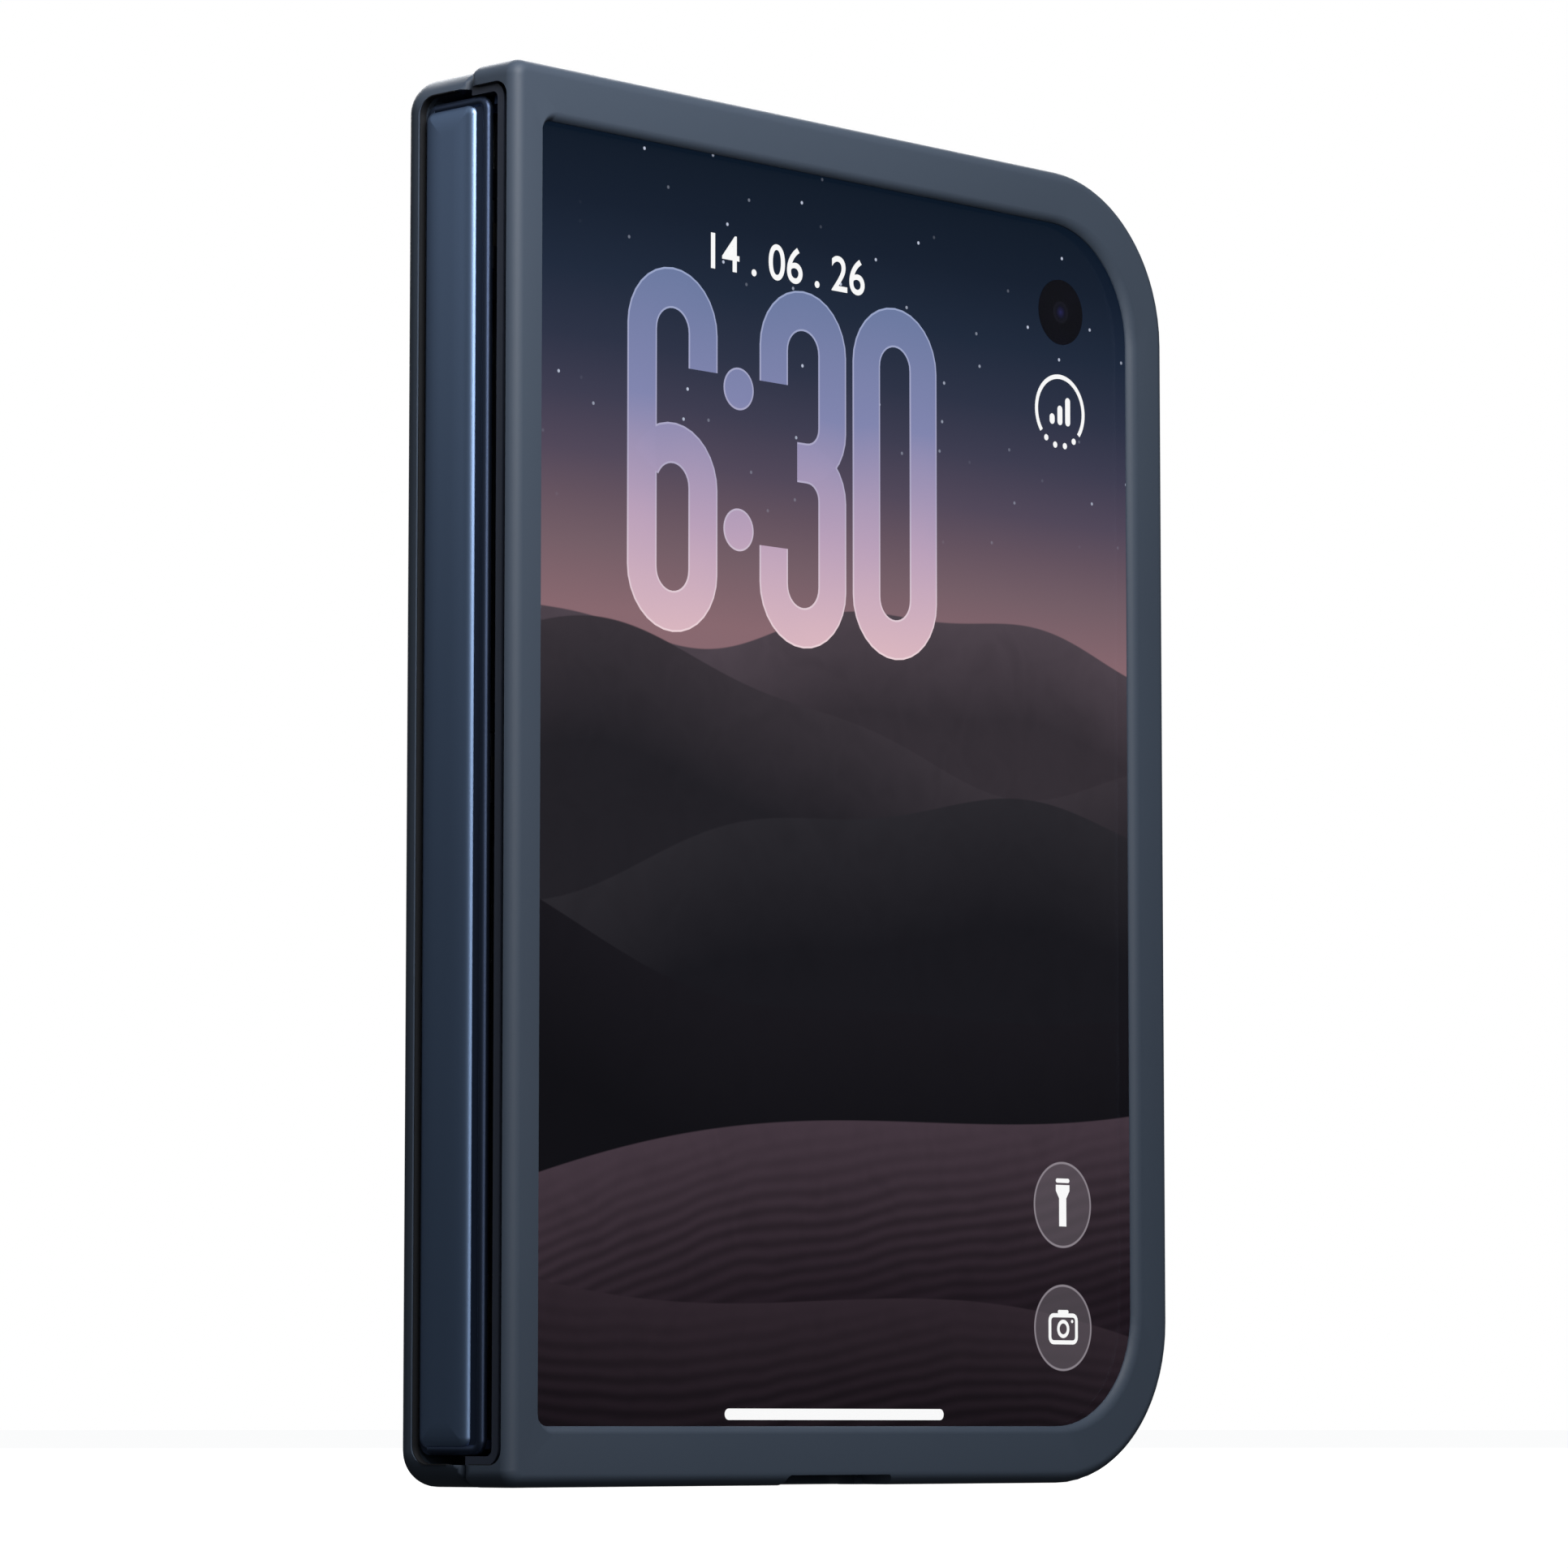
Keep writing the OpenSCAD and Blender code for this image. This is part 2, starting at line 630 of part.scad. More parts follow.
module camera_plateau() color([0.20, 0.25, 0.35]) place() difference() {
  slab([lining_v0, lining_v0 + plateau_t]) plateau_outline(0);
  for (u = lens_u) stud(u, lens_z, [lining_v0 - 1, lining_v0 + plateau_t + 1], barrel_r + 0.1);
  stud(flash_u, lens_z, [lining_v0 + plateau_t - flash_t, lining_v0 + plateau_t + 1],
       flash_d / 2 + 0.2);
  stud(flash_u, lens_z - 6, [lining_v0 + plateau_t - flash_t, lining_v0 + plateau_t + 1], 0.5);
}

module lens_rings() color([0.30, 0.35, 0.45]) place() {
  for (u = lens_u) {
    difference() {
      stud(u, lens_z, [lining_v0 + plateau_t, lining_v0 + plateau_t + 0.4], lens_d / 2);
      stud(u, lens_z, [lining_v0, lining_v0 + plateau_t + 2], lens_d / 2 - 1);
    }
  }
}

module lens_glasses() color([0.02, 0.02, 0.04]) place() {
  for (u = lens_u)
    stud(u, lens_z, [lining_v0 + plateau_t, lining_v0 + plateau_t + 0.25], lens_d / 2 - 1);
}

module camera_barrels() color([0.08, 0.08, 0.09]) place() {
  for (u = lens_u)
    stud(u, lens_z, [rear_core_v + core_gap, lining_v0 + plateau_t], barrel_r);
}

module flash_lens() color([0.95, 0.92, 0.80]) place()
  stud(flash_u, lens_z, [lining_v0 + plateau_t - flash_t, lining_v0 + plateau_t],
       flash_d / 2);

module rear_battery() color([0.13, 0.13, 0.14]) place()
  slab([rear_core_v, back_glass_v - coil_t - core_gap])
    face([board_u[0], phone_u1 - frame_wall - 10],
         [phone_z0 + frame_wall + 3, board_z[0] - 2], 2, 2);

module main_board() color([0.05, 0.20, 0.12]) place() difference() {
  slab([board_v, board_v + board_t])
    face(board_u, board_z, 1, phone_corner_r - frame_wall - 3);
  for (u = lens_u)
    stud(u, lens_z, [rear_core_v, board_v + board_t + 1], barrel_r + 0.3);
}

// Two cans on the board's outer face and one under it
module shield_cans() color([0.70, 0.70, 0.72]) place() {
  slab([board_v + board_t, board_v + board_t + can_h]) {
    face(can_u, [plateau_z0 + 2, plateau_z1 - 3], can_r, can_r);
    face(low_can_u, [plateau_z0 - 8.5, plateau_z0 + 1], can_r, can_r);
  }
  slab([rear_core_v, board_v])
    face([can_u[0] + 2, can_u[1] + 6], [plateau_z0, plateau_z1 - 4], can_r, can_r);
}

module charging_coil() color([0.72, 0.45, 0.25]) place() difference() {
  stud(coil_u, coil_z, [back_glass_v - coil_t, back_glass_v], coil_r);
  stud(coil_u, coil_z, [back_glass_v - 1, back_glass_v + 1], coil_r / 2);
}

module phone_magnets() color([0.60, 0.61, 0.63]) place()
  magnet_ring([back_glass_v - coil_t, back_glass_v]);

// Arms from a half's plate to the knuckles on its hinge axis
module bracket(axis_v, start_u, pad_v, bore_r) {
  for (i = [0 : hinge_count - 1], side = [0, 1]) {
    z0 = arm_z(i, side);
    difference() {
      union() {
        rod(axis_u, axis_v, [z0, z0 + arm_len], knuckle_r);
        block([axis_u, start_u + 0.1], [axis_v - arm_t / 2, axis_v + arm_t / 2],
              [z0, z0 + arm_len]);
      }
      rod(axis_u, axis_v, [z0 - 1, z0 + arm_len + 1], bore_r);
    }
    block([start_u, start_u + arm_pad_len], pad_v, [z0, z0 + arm_len]);
  }
}

module rear_bracket() color([0.62, 0.62, 0.64]) place() {
  bracket(rear_axis_v, rear_hinge_u, [rear_core_v, rear_axis_v + arm_t / 2],
          hinge_pin_r + pin_clearance);
}

module rear_gears() color([0.75, 0.70, 0.55]) place() {
  for (i = [0 : hinge_count - 1])
    gear(rear_axis_v, 0, [gear_z(i), gear_z(i) + gear_len], hinge_pin_r + pin_clearance);
}

module screw(u, z, v) {
  stud(u, z, [v, v + screw_t], screw_r);
}

module rear_screws() color([0.60, 0.60, 0.60]) place() {
  for (z = [board_z[0] + 2, board_z[1] - 2], u = [can_u[0] + 2, can_u[1] + 1.9])
    screw(u, z, board_v + board_t);
}

module side_switches() color([0.75, 0.75, 0.70]) place() {
  for (z = [power_z, volume_up_z, volume_down_z])
    block([key_u0 - key_travel - 1.3, key_u0 - key_travel - 0.1],
          [key_v - key_w / 2, key_v + key_w / 2], [z - 2, z + 2]);
  block([key_u0 - key_travel - 1.7, key_u0 - key_travel - 1.3],
        [rear_core_v, key_v + key_w / 2],
        [power_z - power_len / 2, volume_up_z + volume_len / 2]);
}

// ---- Buttons ----

module key(z_mid, len) {
  side_slot(z_mid, len, key_w, key_v, [key_u0, pad_u0]);
}

module pad(z_mid, len) {
  side_slot(z_mid, len + 2, pad_w, key_v, [pad_u0, case_w + pad_proud]);
}

module power_key() color([0.30, 0.36, 0.48]) place() key(power_z, power_len);
module power_pad() color([0.18, 0.23, 0.30]) place() pad(power_z, power_len);
module volume_up_key() color([0.30, 0.36, 0.48]) place() key(volume_up_z, volume_len);
module volume_up_pad() color([0.18, 0.23, 0.30]) place() pad(volume_up_z, volume_len);
module volume_down_key() color([0.30, 0.36, 0.48]) place() key(volume_down_z, volume_len);
module volume_down_pad() color([0.18, 0.23, 0.30]) place() pad(volume_down_z, volume_len);

// ---- Spine ----

// Cross-section of the cover: flat face, rounded edges and the stepped rail
module spine_profile() {
  translate([spine_recess, spine_front_v + spine_front_r])
    square([spine_wall, spine_face_w - spine_front_r - spine_rear_r]);
  intersection() {
    translate([spine_recess + spine_rear_r, spine_rear_v - spine_rear_r])
      difference() {
        circle(r = spine_rear_r);
        circle(r = spine_rear_r - spine_wall);
      }
    translate([spine_recess, spine_rear_v - spine_rear_r]) square(spine_rear_r);
  }
  intersection() {
    translate([spine_recess + spine_front_r, spine_front_v + spine_front_r])
      circle(r = spine_front_r);
    translate([spine_recess, spine_front_v]) square(spine_front_r);
  }
  translate([spine_recess + spine_front_r, spine_front_v])
    square([rail_drop + rail_skin - spine_front_r, spine_wall]);
  translate([rail_u, rail_v0]) square([rail_skin, rail_w + 0.1]);
}

module spine_cover() color([0.22, 0.27, 0.38]) place() {
  translate([0, 0, spine_z0]) linear_extrude(spine_z1 - spine_z0) spine_profile();
}

module spine_end_caps() color([0.18, 0.22, 0.30]) place() {
  for (z = [spine_z0, spine_z1 - end_cap_t]) {
    block([rail_u + rail_skin, spine_depth], [rail_v0 + 0.2, spine_front_v + spine_wall],
          [z, z + end_cap_t]);
    block([cover_in_u, spine_depth], [spine_front_v + spine_wall, spine_rear_v - spine_rear_r],
          [z, z + end_cap_t]);
  }
}

module hinge_blocks() color([0.50, 0.51, 0.53]) place() {
  for (i = [0 : hinge_count - 1], side = [0, 1]) {
    z0 = module_z(i) + side * (module_len - block_len);
    difference() {
      union() {
        block([rail_u + rail_skin, spine_depth],
              [front_axis_v - knuckle_r, spine_front_v + spine_wall], [z0, z0 + block_len]);
        block([cover_in_u, spine_depth],
              [spine_front_v + spine_wall, rear_axis_v + knuckle_r], [z0, z0 + block_len]);
      }
      for (v = [front_axis_v, rear_axis_v])
        rod(axis_u, v, [z0 - 1, z0 + block_len + 1], hinge_pin_r);
      for (v = idler_v) rod(axis_u, v, [z0 - 1, z0 + block_len + 1], hinge_pin_r - 0.05);
    }
  }
}

module hinge_pins() color([0.80, 0.80, 0.82]) place() {
  for (i = [0 : hinge_count - 1], v = [front_axis_v, rear_axis_v])
    rod(axis_u, v, [module_z(i), module_z(i) + module_len], hinge_pin_r);
}

module idler_pins() color([0.80, 0.80, 0.82]) place() {
  for (i = [0 : hinge_count - 1], v = idler_v)
    rod(axis_u, v, [module_z(i), module_z(i) + module_len], hinge_pin_r - 0.05);
}

// Ribbon circuit that runs along the inside of the spine
module hinge_flex() color([0.55, 0.38, 0.15]) place()
  block([cover_in_u, cover_in_u + 0.2], [rear_axis_v + knuckle_r + 0.2, spine_rear_v - 1.3],
        [spine_z0 + end_cap_t + 2, spine_z1 - end_cap_t - 2]);

// The bend of the folding display between the two halves
module fold_display() color([0.03, 0.03, 0.04]) place() {
  bend_r = (rear_plate_v - front_plate_v) / 2;
  translate([0, 0, phone_z0 + bezel_w]) linear_extrude(phone_z1 - phone_z0 - 2 * bezel_w) {
    translate([front_hinge_u, fold_v]) difference() {
      circle(r = bend_r);
      circle(r = bend_r - inner_display_t);
      translate([0, -2 * bend_r]) square(4 * bend_r);
    }
    translate([front_hinge_u, rear_display_v])
      square([rear_hinge_u - front_hinge_u, inner_display_t]);
  }
}

module idler_gears(v, offset) {
  for (i = [0 : hinge_count - 1])
    gear(v, offset, [gear_z(i) + 0.1, gear_z(i) + gear_len - 0.1],
         hinge_pin_r - 0.05 + pin_clearance);
}

module idler_gears_rear() color([0.75, 0.70, 0.55]) place() idler_gears(idler_v[0], 0.5);
module idler_gears_front() color([0.75, 0.70, 0.55]) place() idler_gears(idler_v[1], 0);

// ---- Front half ----

module cover_glass() color([0.05, 0.08, 0.14]) place()
  slab([glass_v, panel_v]) phone_face(glass_start_u, 0.05);

module cover_panel() color([0.10, 0.09, 0.14]) place() difference() {
  slab([panel_v, core_v]) phone_face(glass_start_u, 1);
  stud(cover_camera_u, cover_camera_z, [panel_v - 1, core_v + 1], cover_camera_d / 2);
}

module cover_camera() color([0.01, 0.01, 0.02]) place() {
  stud(cover_camera_u, cover_camera_z, [panel_v, core_v], cover_camera_d / 2 - 0.05);
  stud(cover_camera_u, cover_camera_z, [core_v, front_core_v - core_gap],
       cover_camera_d / 2 - 0.6);
}

module front_frame() color([0.19, 0.23, 0.33]) place() difference() {
  soft_body([glass_start_u, phone_u1], [phone_z0, phone_z1], 0.6, phone_corner_r,
            [panel_v, front_v1], inner_edge_r, inner_edge_r);
  slab([panel_v - 1, core_v]) phone_face(glass_start_u, 1);
  slab([core_v - 0.1, front_core_v]) phone_face(front_hinge_u, frame_wall);
  slab([front_core_v - 0.1, front_v1 + 1]) phone_face(0, bezel_w / 2);
  block([0, front_hinge_u], [core_v + 0.6, fold_v + 1], [-1, case_h + 1]);
  block([0, front_hinge_u + frame_wall + 0.1],
        [front_axis_v - arm_t / 2 - pin_clearance, fold_v + 1],
        [phone_z0 + frame_wall, phone_z1 - frame_wall]);
  foot_slot(port_u, port_w + 0.6, port_t + 0.3, port_v, [0, phone_z0 + frame_wall + 1]);
  for (side = [-1, 1], i = [0 : grille_holes - 1])
    rod(port_u + side * grille_offset + (i - (grille_holes - 1) / 2) * 4 * grille_hole_r,
        port_v, [0, phone_z0 + frame_wall + 1], grille_hole_r);
}

module front_bezel() color([0.05, 0.05, 0.06]) place()
  bezel(front_hinge_u, [front_plate_v, front_display_v]);

module front_display() color([0.02, 0.02, 0.03]) place()
  slab([front_plate_v, front_display_v]) phone_face(front_hinge_u - bezel_w, bezel_w);

module front_midplate() color([0.45, 0.46, 0.48]) place()
  slab([front_core_v, front_plate_v]) phone_face(front_hinge_u - bezel_w / 2, bezel_w / 2);

module front_battery() color([0.13, 0.13, 0.14]) place()
  slab([core_v, front_core_v])
    face([front_hinge_u + frame_wall + 5, phone_u1 - frame_wall - 3],
         [sub_board_z[1] + 2, earpiece_z[0] - 13], 2, 2);

module sub_board() color([0.05, 0.20, 0.12]) place()
  slab([front_core_v - board_t, front_core_v]) face(sub_board_u, sub_board_z, 0.8, 0.8);

module usb_port() color([0.70, 0.70, 0.72]) place() difference() {
  foot_slot(port_u, port_w, port_t - 0.2, port_v, [phone_z0, sub_board_z[0] - 0.5]);
  foot_slot(port_u, port_w - 2 * port_shell_t, port_t - 0.2 - 2 * port_shell_t, port_v,
            [phone_z0 - 1, tongue_z[1]]);
}

module usb_tongue() color([0.10, 0.10, 0.10]) place()
  block([port_u - tongue_w / 2, port_u + tongue_w / 2],
        [port_v - tongue_t / 2, port_v + tongue_t / 2], tongue_z);

module loudspeaker() color([0.10, 0.10, 0.11]) place()
  slab([core_v + 0.3, front_core_v])
    face([port_u + grille_offset - 7, port_u + grille_offset + 8],
         [wall_z0 + mesh_t, sub_board_z[0] + 4.5], 1, 1);

// Dust mesh behind the frame's speaker holes
module speaker_mesh() color([0.16, 0.16, 0.17]) place()
  for (side = [-1, 1])
    block([port_u + side * grille_offset - 6, port_u + side * grille_offset + 6],
          [port_v - 0.8, port_v + 0.8], [wall_z0, wall_z0 + mesh_t]);

module earpiece() color([0.12, 0.12, 0.13]) place()
  slab([core_v, front_core_v])
    face([port_u - earpiece_w / 2, port_u + earpiece_w / 2], earpiece_z, 1, 1);

module vibration_motor() color([0.66, 0.66, 0.68]) place()
  slab([core_v + 0.2, front_core_v])
    face([sub_board_u[0] - 14, sub_board_u[0] - 1], [wall_z0 + 2, sub_board_z[0] + 0.5],
         1, 1);

module front_bracket() color([0.62, 0.62, 0.64]) place() {
  bracket(front_axis_v, front_hinge_u + frame_wall,
          [front_axis_v - arm_t / 2, front_core_v], hinge_pin_r + pin_clearance);
}

module front_gears() color([0.75, 0.70, 0.55]) place() {
  for (i = [0 : hinge_count - 1])
    gear(front_axis_v, 0.5, [gear_z(i), gear_z(i) + gear_len], hinge_pin_r + pin_clearance);
}

module front_screws() color([0.60, 0.60, 0.60]) place() {
  for (u = [sub_board_u[0] + 1.5, sub_board_u[1] - 1.4])
    screw(u, sub_board_z[1] - 1, front_core_v - board_t - screw_t);
}

rear_shell();
rear_lining();
case_magnets();
rear_frame();
back_glass();
camera_plateau();
lens_rings();
lens_glasses();
camera_barrels();
flash_lens();
rear_battery();
main_board();
shield_cans();
charging_coil();
phone_magnets();
rear_midplate();
rear_display();
rear_bezel();
inner_camera();
rear_bracket();
rear_gears();
rear_screws();
side_switches();
power_key();
power_pad();
volume_up_key();
volume_up_pad();
volume_down_key();
volume_down_pad();
spine_cover();
spine_end_caps();
hinge_blocks();
hinge_pins();
idler_pins();
hinge_flex();
fold_display();
idler_gears_rear();
idler_gears_front();
front_shell();
clip_rail();
cover_glass();
cover_panel();
cover_camera();
front_frame();
front_midplate();
front_display();
front_bezel();
front_battery();
sub_board();
usb_port();
usb_tongue();
loudspeaker();
speaker_mesh();
earpiece();
vibration_motor();
front_bracket();
front_gears();
front_screws();
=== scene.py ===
"""A book-style folding phone in its two-piece soft case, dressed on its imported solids.

Lengths in the size fields are millimetres in the case's own coordinates: u runs from the
spine to the free edge, v from the cover display to the back, and z upwards.
"""

import json
import logging
import math
from dataclasses import dataclass
from enum import Enum
from typing import Any, Dict, List, Mapping, Optional, Sequence, Tuple, Union

import bmesh
import bpy
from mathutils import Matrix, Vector
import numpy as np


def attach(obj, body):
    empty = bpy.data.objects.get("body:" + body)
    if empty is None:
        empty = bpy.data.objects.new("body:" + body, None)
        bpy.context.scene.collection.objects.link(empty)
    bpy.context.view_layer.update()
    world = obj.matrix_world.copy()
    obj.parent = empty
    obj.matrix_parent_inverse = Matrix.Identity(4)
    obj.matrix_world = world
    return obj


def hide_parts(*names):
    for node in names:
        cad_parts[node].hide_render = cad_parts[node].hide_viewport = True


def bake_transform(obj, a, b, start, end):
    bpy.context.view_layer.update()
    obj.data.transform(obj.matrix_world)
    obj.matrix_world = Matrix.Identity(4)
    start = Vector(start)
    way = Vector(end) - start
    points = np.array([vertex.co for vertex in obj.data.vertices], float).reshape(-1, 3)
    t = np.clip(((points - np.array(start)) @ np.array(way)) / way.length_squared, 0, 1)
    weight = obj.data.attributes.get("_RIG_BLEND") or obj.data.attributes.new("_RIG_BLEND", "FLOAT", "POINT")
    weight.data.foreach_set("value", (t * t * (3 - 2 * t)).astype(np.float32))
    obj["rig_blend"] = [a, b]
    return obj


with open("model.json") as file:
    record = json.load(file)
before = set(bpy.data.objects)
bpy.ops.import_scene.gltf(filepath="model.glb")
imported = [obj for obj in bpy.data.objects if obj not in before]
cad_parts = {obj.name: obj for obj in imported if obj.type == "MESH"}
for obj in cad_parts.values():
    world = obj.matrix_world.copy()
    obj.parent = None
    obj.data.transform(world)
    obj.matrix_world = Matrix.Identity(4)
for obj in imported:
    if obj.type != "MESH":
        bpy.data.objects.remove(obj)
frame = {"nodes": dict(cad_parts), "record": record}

log = logging.getLogger("folding_phone")

Point = Tuple[float, float]
Colour = Tuple[float, float, float, float]


def tint(red: int, green: int, blue: int) -> Colour:
    """A screen colour as the linear colour that a shader takes.

    Args:
        red: red, 0 to 255.
        green: green, 0 to 255.
        blue: blue, 0 to 255.

    Returns:
        Linear red, green, blue and 1.
    """
    parts = []
    for level in (red, green, blue):
        share = level / 255
        parts.append(share / 12.92 if share <= 0.04045 else ((share + 0.055) / 1.055) ** 2.4)
    return (parts[0], parts[1], parts[2], 1.0)


@dataclass(frozen=True)
class CasePlan:
    """The case's main sizes and the way from its coordinates to the part's frame."""

    width: float = 85.6
    thickness: float = 15.0
    height: float = 123.0
    pad_proud: float = 0.35
    fold_v: float = 6.45

    def at(self, u: float, v: float, z: float) -> Vector:
        """The point (u, v, z) in metres in the part's frame.

        Args:
            u: distance from the case's spine side.
            v: depth behind the case's front.
            z: height above the foot.

        Returns:
            The point as a vector.
        """
        x = u - (self.width + self.pad_proud) / 2
        return Vector((x, v - self.thickness / 2, z)) / 1000


PLAN = CasePlan()


# ---- Wiring of shaders and modifiers ----


class Value:
    """A number that varies over a surface. Its operators add Math nodes."""

    def __init__(self, bench: "Bench", socket: bpy.types.NodeSocket) -> None:
        """Keeps the bench and the socket that carries the number.

        Args:
            bench: the node tree being wired.
            socket: the output that gives the number.
        """
        self.bench = bench
        self.socket = socket

    def math(self, operation: str, *others: "Number", first: bool = True) -> "Value":
        """This number through one Math node.

        Args:
            operation: the Math node's operation.
            others: its other operands.
            first: whether this number is the first operand.

        Returns:
            The result.
        """
        operands = (self, *others) if first else (*others, self)
        made = self.bench.node(
            self.bench.math_node, {"operation": operation}, dict(enumerate(operands))
        )
        return Value(self.bench, made.outputs[0])

    def __add__(self, other: "Number") -> "Value":
        """The sum."""
        return self.math("ADD", other)

    __radd__ = __add__

    def __mul__(self, other: "Number") -> "Value":
        """The product."""
        return self.math("MULTIPLY", other)

    __rmul__ = __mul__

    def __sub__(self, other: "Number") -> "Value":
        """This less the other."""
        return self.math("SUBTRACT", other)

    def __rsub__(self, other: "Number") -> "Value":
        """The other less this."""
        return self.math("SUBTRACT", other, first=False)

    def __truediv__(self, other: "Number") -> "Value":
        """This over the other."""
        return self.math("DIVIDE", other)

    def sine(self) -> "Value":
        """Its sine, in radians."""
        return self.math("SINE")

    def size(self) -> "Value":
        """Its absolute value."""
        return self.math("ABSOLUTE")

    def least(self, other: "Number") -> "Value":
        """The smaller of the two."""
        return self.math("MINIMUM", other)

    def most(self, other: "Number") -> "Value":
        """The larger of the two."""
        return self.math("MAXIMUM", other)

    def above(self, edge: float, soft: float) -> "Value":
        """A mask that rises from 0 to 1 around an edge.

        Args:
            edge: where the mask is a half.
            soft: the width of the rise.

        Returns:
            The mask.
        """
        made = self.bench.node(
            "ShaderNodeMapRange",
            {"interpolation_type": "SMOOTHSTEP"},
            {"Value": self, "From Min": edge - soft / 2, "From Max": edge + soft / 2},
        )
        return Value(self.bench, made.outputs[0])


Number = Union[Value, float, int]


class Bench:
    """A node tree that is being wired."""

    math_node = "ShaderNodeMath"

    def __init__(self, tree: bpy.types.NodeTree) -> None:
        """Keeps the tree.

        Args:
            tree: the tree that gets the nodes.
        """
        self.tree = tree

    @staticmethod
    def pick(sockets: Any, key: Union[int, str]) -> bpy.types.NodeSocket:
        """A socket by its place, its identifier or its name.

        Args:
            sockets: a node's inputs or outputs.
            key: the place, identifier or name.

        Returns:
            The socket.
        """
        if isinstance(key, int):
            return sockets[key]
        for socket in sockets:
            if socket.identifier == key:
                return socket
        for socket in sockets:
            if socket.name == key and socket.enabled:
                return socket
        raise KeyError(key)

    def feed(self, socket: bpy.types.NodeSocket, value: Any) -> None:
        """Links a socket to an output or sets it to a constant.

        Args:
            socket: the input.
            value: an output, a Value or a constant.
        """
        if isinstance(value, Value):
            value = value.socket
        if isinstance(value, bpy.types.NodeSocket):
            self.tree.links.new(value, socket)
        else:
            socket.default_value = value

    def node(
        self,
        kind: str,
        settings: Optional[Mapping[str, Any]] = None,
        inputs: Optional[Mapping[Union[int, str], Any]] = None,
    ) -> bpy.types.Node:
        """Adds one node, sets it and then feeds its sockets.

        Args:
            kind: the node's type.
            settings: its properties, and stops for a ramp.
            inputs: values or links by socket.

        Returns:
            The node.
        """
        made = self.tree.nodes.new(kind)
        for key, value in (settings or {}).items():
            if key == "stops":
                self.set_stops(made.color_ramp, value)
            else:
                setattr(made, key, value)
        for key, value in (inputs or {}).items():
            self.feed(self.pick(made.inputs, key), value)
        return made

    @staticmethod
    def set_stops(ramp: bpy.types.ColorRamp, stops: Sequence[Tuple[float, Colour]]) -> None:
        """Gives a ramp its stops.

        Args:
            ramp: the ramp.
            stops: place and colour of each stop, in order.
        """
        while len(ramp.elements) < len(stops):
            ramp.elements.new(1.0)
        for element, (place, colour) in zip(ramp.elements, stops):
            element.position = place
            element.color = colour


